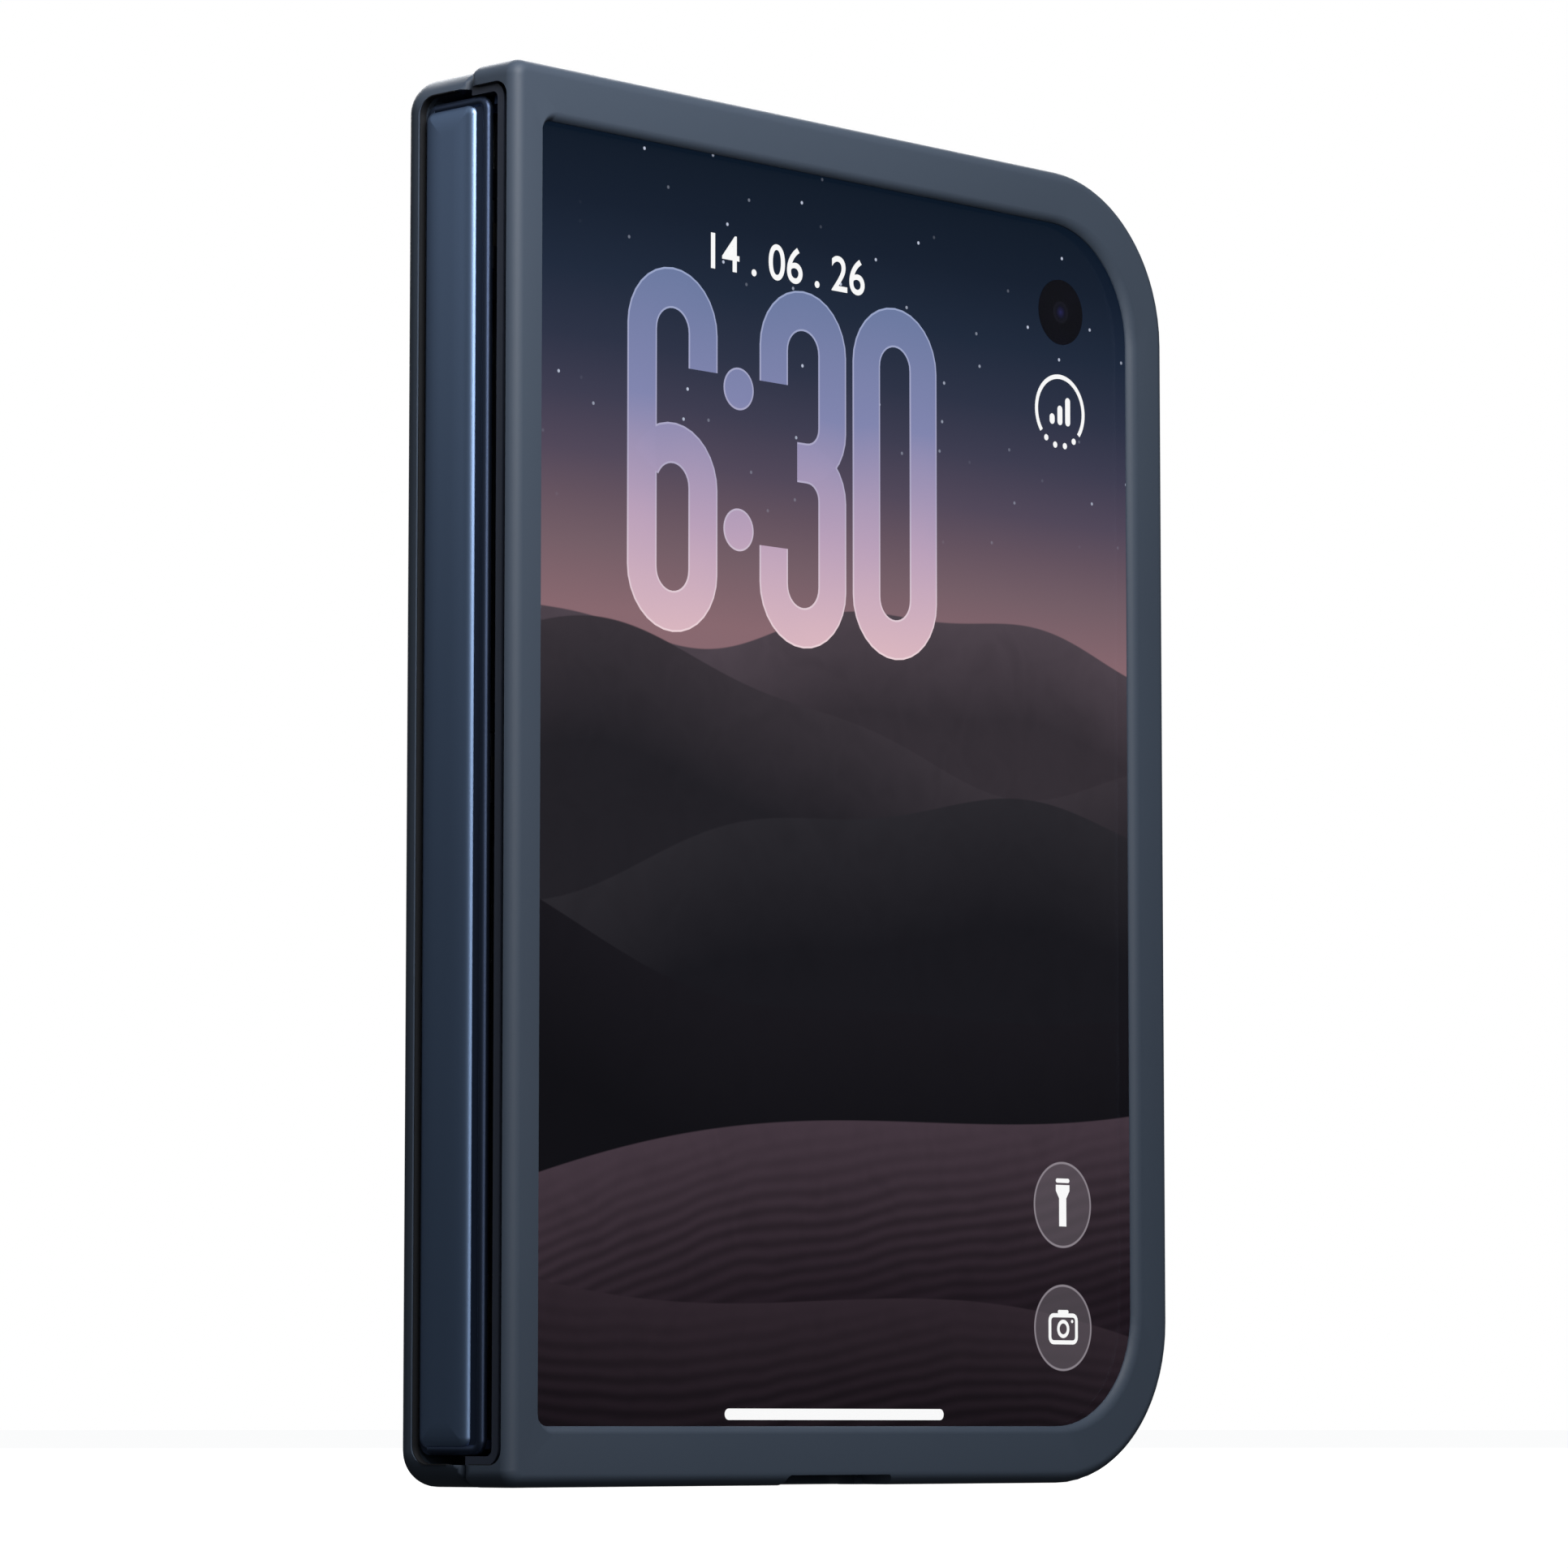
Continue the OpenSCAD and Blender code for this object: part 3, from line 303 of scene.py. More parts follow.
class Paint(Bench):
    """A material's nodes, with the object's own coordinates in millimetres."""

    def __init__(self, tree: bpy.types.NodeTree) -> None:
        """Starts from the object's coordinates.

        Args:
            tree: the material's node tree.
        """
        super().__init__(tree)
        where = self.node("ShaderNodeTexCoord")
        scaled = self.node(
            "ShaderNodeVectorMath",
            {"operation": "SCALE"},
            {0: where.outputs["Object"], "Scale": 1000.0},
        )
        self.place = scaled.outputs[0]

    def axis(self, letter: str) -> Value:
        """One of the coordinates, in millimetres.

        Args:
            letter: X, Y or Z.

        Returns:
            The coordinate.
        """
        split = self.node("ShaderNodeSeparateXYZ", None, {0: self.place})
        return Value(self, split.outputs[letter])

    def stretched(self, x: float, y: float, z: float) -> bpy.types.NodeSocket:
        """The coordinates scaled by a share along each axis.

        Args:
            x: share along X.
            y: share along Y.
            z: share along Z.

        Returns:
            The scaled coordinates.
        """
        made = self.node(
            "ShaderNodeVectorMath", {"operation": "MULTIPLY"}, {0: self.place, 1: (x, y, z)}
        )
        return made.outputs[0]

    def noise(
        self, size: float, detail: float = 2.0, where: Optional[Any] = None, warp: float = 0.0
    ) -> Value:
        """Smooth noise from 0 to 1.

        Args:
            size: the size of its features in millimetres.
            detail: its octaves.
            where: coordinates, else the object's own.
            warp: its distortion.

        Returns:
            The noise.
        """
        made = self.node(
            "ShaderNodeTexNoise",
            None,
            {
                "Vector": where or self.place,
                "Scale": 1.0 / size,
                "Detail": detail,
                "Distortion": warp,
            },
        )
        return Value(self, made.outputs[0])

    def cells(self, size: float) -> Tuple[Value, Value]:
        """Distance to the nearest of points scattered over the front, and their numbers.

        Args:
            size: the points' usual spacing in millimetres.

        Returns:
            The distance in cells and the point's own number from 0 to 1.
        """
        flat = self.node(
            "ShaderNodeCombineXYZ", None, {0: self.axis("X"), 1: self.axis("Z"), 2: 0.0}
        )
        made = self.node(
            "ShaderNodeTexVoronoi",
            {"voronoi_dimensions": "2D"},
            {"Vector": flat.outputs[0], "Scale": 1.0 / size},
        )
        split = self.node("ShaderNodeSeparateColor", None, {0: made.outputs["Color"]})
        return Value(self, made.outputs["Distance"]), Value(self, split.outputs[0])

    def away(self, u: float, z: float) -> Value:
        """Distance in the plane of the front from a line through (u, z).

        Args:
            u: case coordinate of the line.
            z: its height.

        Returns:
            The distance in millimetres.
        """
        centre = PLAN.at(u, 0, z) * 1000
        across = self.axis("X") - centre.x
        up = self.axis("Z") - centre.z
        return (across * across + up * up).math("SQRT")

    def blend(self, share: Number, one: Any, other: Any) -> Any:
        """A colour between two.

        Args:
            share: 0 for the first and 1 for the second.
            one: the first colour.
            other: the second colour.

        Returns:
            The colour's socket.
        """
        made = self.node(
            "ShaderNodeMix",
            {"data_type": "RGBA"},
            {"Factor_Float": share, "A_Color": one, "B_Color": other},
        )
        return self.pick(made.outputs, "Result_Color")

    def ramp(self, share: Number, stops: Sequence[Tuple[float, Colour]]) -> Any:
        """A colour that follows a number.

        Args:
            share: the number, 0 to 1.
            stops: place and colour of each stop.

        Returns:
            The colour's socket.
        """
        made = self.node("ShaderNodeValToRGB", {"stops": stops}, {0: share})
        return made.outputs[0]

    def dents(self, height: Number, depth: float, strength: float = 1.0) -> Any:
        """A bumpy normal.

        Args:
            height: the height, 0 to 1.
            depth: how far 0 to 1 is, in millimetres.
            strength: how much of it shows.

        Returns:
            The normal's socket.
        """
        made = self.node(
            "ShaderNodeBump",
            None,
            {"Strength": strength, "Distance": depth / 1000, "Height": height},
        )
        return made.outputs[0]

    def surface(self, sockets: Mapping[str, Any]) -> None:
        """Ends the material in a Principled surface.

        Args:
            sockets: its values and links by name.
        """
        made = self.node("ShaderNodeBsdfPrincipled", None, sockets)
        self.node("ShaderNodeOutputMaterial", None, {"Surface": made.outputs[0]})


# ---- Finishes ----


@dataclass(frozen=True)
class Finish:
    """A finish, made once as a material of its own name."""

    name: str

    def material(self) -> bpy.types.Material:
        """The finish's material.

        Returns:
            The material, made at the first call.
        """
        title = self.name + "_finish"
        found = bpy.data.materials.get(title)
        if found is None:
            found = bpy.data.materials.new(title)
            found.use_nodes = True
            found.node_tree.nodes.clear()
            self.paint(Paint(found.node_tree))
        return found

    def paint(self, paint: Paint) -> None:
        """Wires the finish.

        Args:
            paint: the material's nodes.
        """
        raise NotImplementedError


@dataclass(frozen=True)
class SoftRubber(Finish):
    """Soft-touch silicone: matte, with a fine skin and a faint bloom."""

    colour: Colour = tint(64, 74, 88)
    skin: float = 0.22
    relief: float = 0.004

    def paint(self, paint: Paint) -> None:
        """Wires the silicone.

        Args:
            paint: the material's nodes.
        """
        cloud = paint.noise(26, 2)
        grain = paint.noise(self.skin, 3)
        darker = tuple(0.93 * part for part in self.colour[:3]) + (1.0,)
        lighter = tuple(1.06 * part for part in self.colour[:3]) + (1.0,)
        tone = cloud * 0.7 + grain * 0.3
        paint.surface(
            {
                "Base Color": paint.blend(tone, darker, lighter),
                "Roughness": 0.5 + cloud * 0.06 + grain * 0.05,
                "Specular IOR Level": 0.36,
                "Sheen Weight": 0.02,
                "Sheen Roughness": 0.45,
                "Sheen Tint": tint(190, 205, 230),
                "Normal": paint.dents(grain, self.relief, 0.6),
            }
        )


@dataclass(frozen=True)
class BlastedMetal(Finish):
    """Bead-blasted and dyed metal, fine grained and satin."""

    colour: Colour = tint(96, 116, 160)
    rough: float = 0.34
    grain: float = 0.09

    def paint(self, paint: Paint) -> None:
        """Wires the metal.

        Args:
            paint: the material's nodes.
        """
        grain = paint.noise(self.grain, 2)
        cloud = paint.noise(30, 1)
        darker = tuple(0.92 * part for part in self.colour[:3]) + (1.0,)
        paint.surface(
            {
                "Base Color": paint.blend(cloud * 0.6 + grain * 0.4, darker, self.colour),
                "Metallic": 1.0,
                "Roughness": self.rough - 0.03 + grain * 0.06 + cloud * 0.03,
                "Normal": paint.dents(grain, 0.002, 0.5),
            }
        )


@dataclass(frozen=True)
class BrushedMetal(Finish):
    """Bare metal with fine lines along one axis."""

    colour: Colour = tint(190, 190, 196)
    rough: float = 0.3
    along: Tuple[float, float, float] = (1.0, 1.0, 0.03)
    tarnish: Colour = tint(150, 146, 140)

    def paint(self, paint: Paint) -> None:
        """Wires the metal.

        Args:
            paint: the material's nodes.
        """
        lines = paint.noise(0.12, 3, paint.stretched(*self.along))
        stain = paint.noise(4, 3).above(0.62, 0.3)
        paint.surface(
            {
                "Base Color": paint.blend(stain * 0.4 + lines * 0.2, self.colour, self.tarnish),
                "Metallic": 1.0,
                "Roughness": self.rough + lines * 0.14,
                "Normal": paint.dents(lines, 0.003, 0.4),
            }
        )


@dataclass(frozen=True)
class MouldedPlastic(Finish):
    """Moulded plastic with a fine spark-eroded grain."""

    colour: Colour = tint(34, 35, 38)
    rough: float = 0.5
    grain: float = 0.12

    def paint(self, paint: Paint) -> None:
        """Wires the plastic.

        Args:
            paint: the material's nodes.
        """
        grain = paint.noise(self.grain, 2)
        cloud = paint.noise(9, 2)
        darker = tuple(0.85 * part for part in self.colour[:3]) + (1.0,)
        paint.surface(
            {
                "Base Color": paint.blend(cloud, darker, self.colour),
                "Roughness": self.rough + grain * 0.08,
                "Normal": paint.dents(grain, 0.004, 0.4),
            }
        )


@dataclass(frozen=True)
class BlackGlass(Finish):
    """Dark polished glass over a black print, with faint smears."""

    colour: Colour = tint(9, 10, 13)
    rough: float = 0.05
    crease: bool = False

    def paint(self, paint: Paint) -> None:
        """Wires the glass.

        Args:
            paint: the material's nodes.
        """
        smear = paint.noise(14, 3, warp=1.5)
        inputs: Dict[str, Any] = {
            "Base Color": paint.blend(smear, self.colour, tint(12, 13, 17)),
            "Roughness": self.rough + smear * 0.05,
            "Specular IOR Level": 0.5,
            "Coat Weight": 0.5,
            "Coat Roughness": 0.04,
        }
        if self.crease:
            inputs["Normal"] = paint.dents(paint.noise(7, 1, paint.stretched(1, 1, 0.08)), 0.03)
        paint.surface(inputs)


@dataclass(frozen=True)
class EtchedGlass(Finish):
    """Matte-etched glass over a painted film."""

    colour: Colour = tint(58, 72, 104)

    def paint(self, paint: Paint) -> None:
        """Wires the glass.

        Args:
            paint: the material's nodes.
        """
        etch = paint.noise(0.08, 2)
        film = paint.noise(40, 1)
        deep = tuple(0.8 * part for part in self.colour[:3]) + (1.0,)
        paint.surface(
            {
                "Base Color": paint.blend(film, deep, self.colour),
                "Roughness": 0.38 + etch * 0.08,
                "Metallic": 0.35,
                "Coat Weight": 0.25,
                "Coat Roughness": 0.3,
                "Normal": paint.dents(etch, 0.0015, 0.5),
            }
        )


@dataclass(frozen=True)
class LensGlass(Finish):
    """Coated lens: black print, stepped barrel rings and a tinted element, with a faint painted glow and a
    painted purple coating sheen.
    """

    centres: Tuple[Point, ...] = ()
    outer: float = 6.0
    stops: Tuple[Tuple[float, Colour], ...] = (
        (0.0, tint(26, 30, 66)),
        (0.16, tint(16, 16, 40)),
        (0.2, tint(60, 62, 78)),
        (0.24, tint(12, 12, 16)),
        (0.4, tint(14, 18, 34)),
        (0.46, tint(46, 48, 56)),
        (0.5, tint(8, 8, 10)),
        (0.74, tint(20, 20, 24)),
        (0.8, tint(5, 5, 7)),
    )

    def paint(self, paint: Paint) -> None:
        """Wires the lens.

        Args:
            paint: the material's nodes.
        """
        near = paint.away(*self.centres[0])
        for centre in self.centres[1:]:
            near = near.least(paint.away(*centre))
        share = near / self.outer
        # Purple tint by noise: painted reflection of the lens coating.
        sheen = paint.noise(3, 1)
        tone = paint.ramp(share, self.stops)
        paint.surface(
            {
                "Base Color": paint.blend(sheen * 0.15, tone, tint(30, 20, 60)),
                "Roughness": 0.05 + share.above(0.74, 0.1) * 0.06,
                "Coat Weight": 1.0,
                "Coat Roughness": 0.03,
                # The ring colours also glow faintly: painted light, as the lens is no lamp.
                "Emission Color": tone,
                "Emission Strength": 0.03,
            }
        )


@dataclass(frozen=True)
class FlashDiffuser(Finish):
    """Milky flash window with fine rings."""

    centre: Point = (43.2, 106.5)

    def paint(self, paint: Paint) -> None:
        """Wires the window.

        Args:
            paint: the material's nodes.
        """
        rings = (paint.away(*self.centre) * 16.0).sine() * 0.5 + 0.5
        paint.surface(
            {
                "Base Color": paint.blend(rings * 0.5, tint(240, 232, 205), tint(205, 190, 140)),
                "Roughness": 0.2,
                "Coat Weight": 0.8,
                "Normal": paint.dents(rings, 0.03),
            }
        )


@dataclass(frozen=True)
class Microfibre(Finish):
    """Short-napped lining."""

    colour: Colour = tint(92, 100, 116)

    def paint(self, paint: Paint) -> None:
        """Wires the nap.

        Args:
            paint: the material's nodes.
        """
        nap = paint.noise(0.3, 4, warp=0.6)
        brush = paint.noise(11, 2)
        dark = tuple(0.62 * part for part in self.colour[:3]) + (1.0,)
        paint.surface(
            {
                "Base Color": paint.blend(nap * 0.6 + brush * 0.4, dark, self.colour),
                "Roughness": 0.95,
                "Sheen Weight": 0.5,
                "Sheen Roughness": 0.5,
                "Normal": paint.dents(nap, 0.05),
            }
        )


@dataclass(frozen=True)
class BoardLaminate(Finish):
    """Circuit board under solder resist, with tracks and pads."""

    colour: Colour = tint(16, 62, 40)

    def paint(self, paint: Paint) -> None:
        """Wires the board.

        Args:
            paint: the material's nodes.
        """
        weave = (paint.axis("X") * 4.2).sine() * (paint.axis("Z") * 4.2).sine()
        tracks = paint.noise(1.1, 0, paint.stretched(1, 1, 0.2)).above(0.56, 0.04)
        distance, lot = paint.cells(1.6)
        pads = (0.16 - distance).above(0.0, 0.03) * lot.above(0.5, 0.05)
        ground = paint.blend(tracks * 0.6, self.colour, tint(30, 92, 56))
        paint.surface(
            {
                "Base Color": paint.blend(pads, ground, tint(205, 170, 90)),
                "Metallic": pads,
                "Roughness": 0.34 + weave * 0.03,
                "Coat Weight": 0.5,
                "Normal": paint.dents(tracks + pads, 0.03, 0.6),
            }
        )


@dataclass(frozen=True)
class PouchFoil(Finish):
    """Crinkled laminate foil of a battery pouch."""

    colour: Colour = tint(62, 63, 66)

    def paint(self, paint: Paint) -> None:
        """Wires the foil.

        Args:
            paint: the material's nodes.
        """
        crinkle = paint.noise(2.2, 4, warp=1.2)
        scuffs = paint.noise(0.4, 3, paint.stretched(0.15, 1, 1)).above(0.68, 0.1)
        paint.surface(
            {
                "Base Color": paint.blend(scuffs * 0.4, self.colour, tint(120, 121, 124)),
                "Metallic": 0.7,
                "Roughness": 0.42 + crinkle * 0.15,
                "Normal": paint.dents(crinkle, 0.08, 0.5),
            }
        )


@dataclass(frozen=True)
class FlexFilm(Finish):
    """Amber ribbon circuit with copper lines."""

    colour: Colour = tint(168, 104, 36)

    def paint(self, paint: Paint) -> None:
        """Wires the ribbon.

        Args:
            paint: the material's nodes.
        """
        lines = (paint.axis("Y") * 14.0).sine().above(0.2, 0.5)
        paint.surface(
            {
                "Base Color": paint.blend(lines * 0.7, self.colour, tint(206, 138, 84)),
                "Metallic": lines * 0.6,
                "Roughness": 0.3 + paint.noise(2, 2) * 0.1,
                "Normal": paint.dents(lines, 0.02),
            }
        )


@dataclass(frozen=True)
class WoundCopper(Finish):
    """Lacquered copper wire."""

    colour: Colour = tint(206, 122, 76)

    def paint(self, paint: Paint) -> None:
        """Wires the copper.

        Args:
            paint: the material's nodes.
        """
        patina = paint.noise(3, 3)
        paint.surface(
            {
                "Base Color": paint.blend(patina * 0.6, self.colour, tint(150, 78, 44)),
                "Metallic": 1.0,
                "Roughness": 0.24 + patina * 0.12,
                "Coat Weight": 0.4,
                "Normal": paint.dents(paint.noise(0.3, 2), 0.006),
            }
        )


@dataclass(frozen=True)
class ClearGlass(Finish):
    """Polished clear glass, thin enough to see the panel straight through."""

    def paint(self, paint: Paint) -> None:
        """Wires the glass.

        Args:
            paint: the material's nodes.
        """
        smear = paint.noise(16, 2)
        paint.surface(
            {
                "Base Color": tint(4, 6, 10),
                "Roughness": 0.04 + smear * 0.03,
                "Alpha": 0.05,
                "Specular IOR Level": 0.5,
                "Coat Weight": 1.0,
                "Coat Roughness": 0.02,
            }
        )


@dataclass(frozen=True)
class Glow(Finish):
    """A lit sign on the display."""

    colour: Colour = tint(255, 255, 255)

    def paint(self, paint: Paint) -> None:
        """Wires the light.

        Args:
            paint: the material's nodes.
        """
        pixels = paint.noise(0.2, 1)
        paint.surface(
            {
                "Base Color": tint(4, 4, 5),
                "Roughness": 0.3,
                "Specular IOR Level": 0.2,
                "Emission Color": paint.blend(pixels * 0.04, self.colour, tint(205, 210, 230)),
                "Emission Strength": 1.0,
            }
        )


@dataclass(frozen=True)
class GlowFade(Finish):
    """A lit sign that changes colour from its foot to its top."""

    low: float = 75.0
    high: float = 107.0
    stops: Tuple[Tuple[float, Colour], ...] = (
        (0.0, tint(222, 186, 196)),
        (0.3, tint(190, 164, 190)),
        (0.65, tint(132, 136, 178)),
        (1.0, tint(110, 124, 164)),
    )

    def paint(self, paint: Paint) -> None:
        """Wires the light.

        Args:
            paint: the material's nodes.
        """
        share = (paint.axis("Z") - self.low) / (self.high - self.low)
        drift = paint.noise(9, 1) * 0.08 - 0.04
        paint.surface(
            {
                "Base Color": tint(4, 4, 5),
                "Roughness": 0.3,
                "Specular IOR Level": 0.2,
                "Emission Color": paint.ramp(share + drift, self.stops),
                "Emission Strength": 1.0,
            }
        )


@dataclass(frozen=True)
class Swell:
    """One layer of the picture: a smooth crest across the display."""

    level: float
    slope: float
    waves: Tuple[Tuple[float, float, float], ...]
    crest: Colour
    foot: Colour
    fall: float
    ripple: float = 0.0


@dataclass(frozen=True)
class DuskPicture(Finish):
    """The lit panel: a dusk sky over smooth rolling layers, with two round buttons."""

    sky: Tuple[Tuple[float, Colour], ...] = (
        (0.0, tint(142, 109, 116)),
        (0.14, tint(121, 98, 107)),
        (0.24, tint(104, 86, 99)),
        (0.33, tint(85, 75, 93)),
        (0.45, tint(64, 63, 83)),
        (0.57, tint(46, 52, 72)),
        (0.71, tint(31, 42, 61)),
        (0.86, tint(20, 31, 48)),
        (1.0, tint(13, 25, 40)),
    )
    sky_foot: float = 76.0
    sky_top: float = 118.0
    layers: Tuple[Swell, ...] = (
        Swell(
            77, 0.02, ((2.4, 0.085, 0.4), (0.8, 0.21, 2.0)), tint(80, 70, 78), tint(54, 48, 54), 9
        ),
        Swell(
            69, -0.07, ((3.4, 0.07, 3.4), (1.0, 0.17, 0.7)), tint(58, 52, 58), tint(34, 32, 37), 11
        ),
        Swell(
            58, 0.1, ((3.0, 0.06, 1.1), (1.2, 0.15, 4.0)), tint(42, 40, 45), tint(24, 23, 28), 12
        ),
        Swell(
            45, -0.12, ((3.6, 0.055, 5.2), (0.8, 0.13, 1.0)), tint(24, 22, 27), tint(14, 13, 17), 14
        ),
        Swell(31, 0.16, ((3.0, 0.05, 2.6),), tint(70, 57, 66), tint(36, 27, 34), 16, 0.7),
        Swell(16, -0.1, ((2.4, 0.06, 0.2),), tint(48, 38, 45), tint(20, 14, 19), 14, 1.0),
    )
    star_pitch: float = 5.0
    star_share: float = 0.03
    star_foot: float = 90.0
    rock_size: float = 5.0
    crest_edge: float = 0.18
    ripple_pace: float = 4.6
    ripple_lean: float = 0.5
    ripple_drift: float = 15.0
    ripple_reach: float = 9.0
    ripple_depth: float = 0.55
    buttons: Tuple[Point, ...] = ((72.2, 25.7), (72.2, 14.3))
    button_r: float = 4.0
    button_rim: float = 0.09

    def crest(self, paint: Paint, layer: Swell) -> Value:
        """Height of the surface below a layer's crest.

        Args:
            paint: the material's nodes.
            layer: the layer.

        Returns:
            The distance below the crest, in millimetres, negative above it.
        """
        across = paint.axis("X")
        line = across * layer.slope + layer.level
        for swing, pace, phase in layer.waves:
            line = line + (across * pace + phase).sine() * swing
        return line - paint.axis("Z")

    def paint(self, paint: Paint) -> None:
        """Wires the panel.

        Args:
            paint: the material's nodes.
        """
        height = paint.axis("Z")
        picture = paint.ramp((height - self.sky_foot) / (self.sky_top - self.sky_foot), self.sky)
        distance, lot = paint.cells(self.star_pitch)
        stars = (self.star_share - distance).above(0.0, 0.014) * lot.above(0.6, 0.7)
        stars = stars * height.above(self.star_foot, 12)
        picture = paint.blend(stars, picture, tint(196, 204, 224))
        rock = paint.noise(self.rock_size, 5, warp=0.5)
        for layer in self.layers:
            below = self.crest(paint, layer)
            body = paint.blend((below / layer.fall).least(1.0), layer.crest, layer.foot)
            body = paint.blend((rock - 0.5).size() * 0.5, body, tint(10, 9, 12))
            if layer.ripple:
                drift = paint.noise(17, 2) * self.ripple_drift
                turn = below * self.ripple_pace + drift + paint.axis("X") * self.ripple_lean
                lines = turn.sine() * 0.5 + 0.5
                deep = (below / self.ripple_reach).least(1.0).most(0.0)
                depth = self.ripple_depth * layer.ripple
                body = paint.blend(lines * deep * depth, body, tint(12, 8, 11))
            picture = paint.blend(below.above(0.0, self.crest_edge), picture, body)
        near = paint.away(*self.buttons[0]).least(paint.away(*self.buttons[1]))
        disc = (self.button_r - near).above(0.0, 0.08)
        off_rim = (self.button_r - self.button_rim - near).size()
        rim = disc * (0.16 - off_rim).above(0.05, 0.1)
        picture = paint.blend(disc * 0.2, picture, tint(150, 140, 150))
        picture = paint.blend(rim * 0.35, picture, tint(210, 200, 210))
        paint.surface(
            {
                "Base Color": tint(4, 4, 6),
                "Roughness": 0.12 + rock * 0.02,
                "Specular IOR Level": 0.25,
                "Emission Color": picture,
                "Emission Strength": 1.0,
            }
        )


@dataclass(frozen=True)
class PaleGround(Finish):
    """Plain pale floor."""

    colour: Colour = (0.3, 0.3, 0.3, 1.0)

    def paint(self, paint: Paint) -> None:
        """Wires the floor.

        Args:
            paint: the material's nodes.
        """
        paint.surface(
            {
                "Base Color": self.colour,
                "Roughness": 0.9,
                "Specular IOR Level": 0.0,
                "Emission Color": (1.0, 1.0, 1.0, 1.0),
                "Emission Strength": 0.9,
            }
        )


LENSES: Tuple[Point, ...] = ((69.1, 106.5), (53.1, 106.5))

FINISHES: Dict[str, Finish] = {
    "case_rubber": SoftRubber("case_rubber"),
    "pad_rubber": SoftRubber("pad_rubber", tint(60, 70, 84)),
    "lining_fabric": Microfibre("lining_fabric"),
    "magnet_nickel": BrushedMetal("magnet_nickel", tint(196, 198, 202), 0.2),
    "frame_aluminium": BlastedMetal("frame_aluminium"),
    "back_glass": EtchedGlass("back_glass"),
    "plateau_aluminium": BlastedMetal("plateau_aluminium", tint(92, 110, 150), 0.28),
    "lens_glass": LensGlass("lens_glass", LENSES),
    "black_plastic": MouldedPlastic("black_plastic"),
    "flash_plastic": FlashDiffuser("flash_plastic"),
    "battery_foil": PouchFoil("battery_foil"),
    "board_laminate": BoardLaminate("board_laminate"),
    "shield_steel": BrushedMetal("shield_steel", tint(186, 186, 190), 0.26, (1.0, 1.0, 0.05)),
    "coil_copper": WoundCopper("coil_copper"),
    "plate_aluminium": BrushedMetal("plate_aluminium", tint(168, 170, 174), 0.34),
    "fold_glass": BlackGlass("fold_glass", crease=True),
    "bezel_plastic": MouldedPlastic("bezel_plastic", tint(24, 24, 27), 0.55),
    # Dark phosphated steel, made darker still as painted shade so that the hinge parts read black in the
    # gap.
    "hinge_steel": BrushedMetal("hinge_steel", tint(44, 46, 52), 0.42, tarnish=tint(30, 31, 36)),
    "gear_steel": BrushedMetal("gear_steel", tint(58, 56, 54), 0.4, tarnish=tint(36, 34, 32)),
    "pin_steel": BrushedMetal("pin_steel", tint(220, 220, 224), 0.12),
    "switch_plastic": MouldedPlastic("switch_plastic", tint(190, 190, 182), 0.45),
    "key_aluminium": BlastedMetal("key_aluminium", tint(100, 120, 164), 0.3),
    "spine_metal": BlastedMetal("spine_metal", tint(132, 156, 192), 0.42),
    "flex_film": FlexFilm("flex_film"),
    "clip_plastic": MouldedPlastic("clip_plastic", tint(48, 54, 68), 0.42),
    "cover_glass": ClearGlass("cover_glass"),
    "cover_panel": DuskPicture("cover_panel"),
    "mesh_steel": BrushedMetal("mesh_steel", tint(56, 56, 60), 0.5),
}

SLOTS: Dict[str, str] = {
    part["node"]: part["material_slot"] for part in frame["record"]["subparts"]
}
BODY_OF: Dict[str, str] = {
    node: body
    for body, nodes in frame["record"]["behaviour"]["bodies"].items()
    for node in nodes
}


# ---- Shapes ----


def rounded(
    u: Point, z: Point, spine_r: float, free_r: float, inset: float = 0.0, steps: int = 10
) -> List[Point]:
    """A rectangle's outline with rounded corners, anticlockwise from the front.

    Args:
        u: its ends along u.
        z: its ends along z.
        spine_r: radius of the two corners at the low end of u.
        free_r: radius of the two corners at the high end.
        inset: how far the outline is pulled in.
        steps: pieces in each corner.

    Returns:
        The outline's points.
    """
    low_r, high_r = max(spine_r - inset, 0.02), max(free_r - inset, 0.02)
    u0, u1, z0, z1 = u[0] + inset, u[1] - inset, z[0] + inset, z[1] - inset
    corners = (
        (u0 + low_r, z0 + low_r, low_r, 180),
        (u1 - high_r, z0 + high_r, high_r, 270),
        (u1 - high_r, z1 - high_r, high_r, 0),
        (u0 + low_r, z1 - low_r, low_r, 90),
    )
    points = []
    for cu, cz, radius, start in corners:
        for step in range(steps + 1):
            turn = math.radians(start + 90 * step / steps)
            points.append((cu + radius * math.cos(turn), cz + radius * math.sin(turn)))
    return points


def arc(centre: Point, radius: float, start: float, end: float, steps: int = 8) -> List[Point]:
    """Points along an arc.

    Args:
        centre: its centre.
        radius: its radius.
        start: its first angle in degrees.
        end: its last angle in degrees.
        steps: its pieces.

    Returns:
        The points.
    """
    turns = [math.radians(start + (end - start) * step / steps) for step in range(steps + 1)]
    return [(centre[0] + radius * math.cos(t), centre[1] + radius * math.sin(t)) for t in turns]


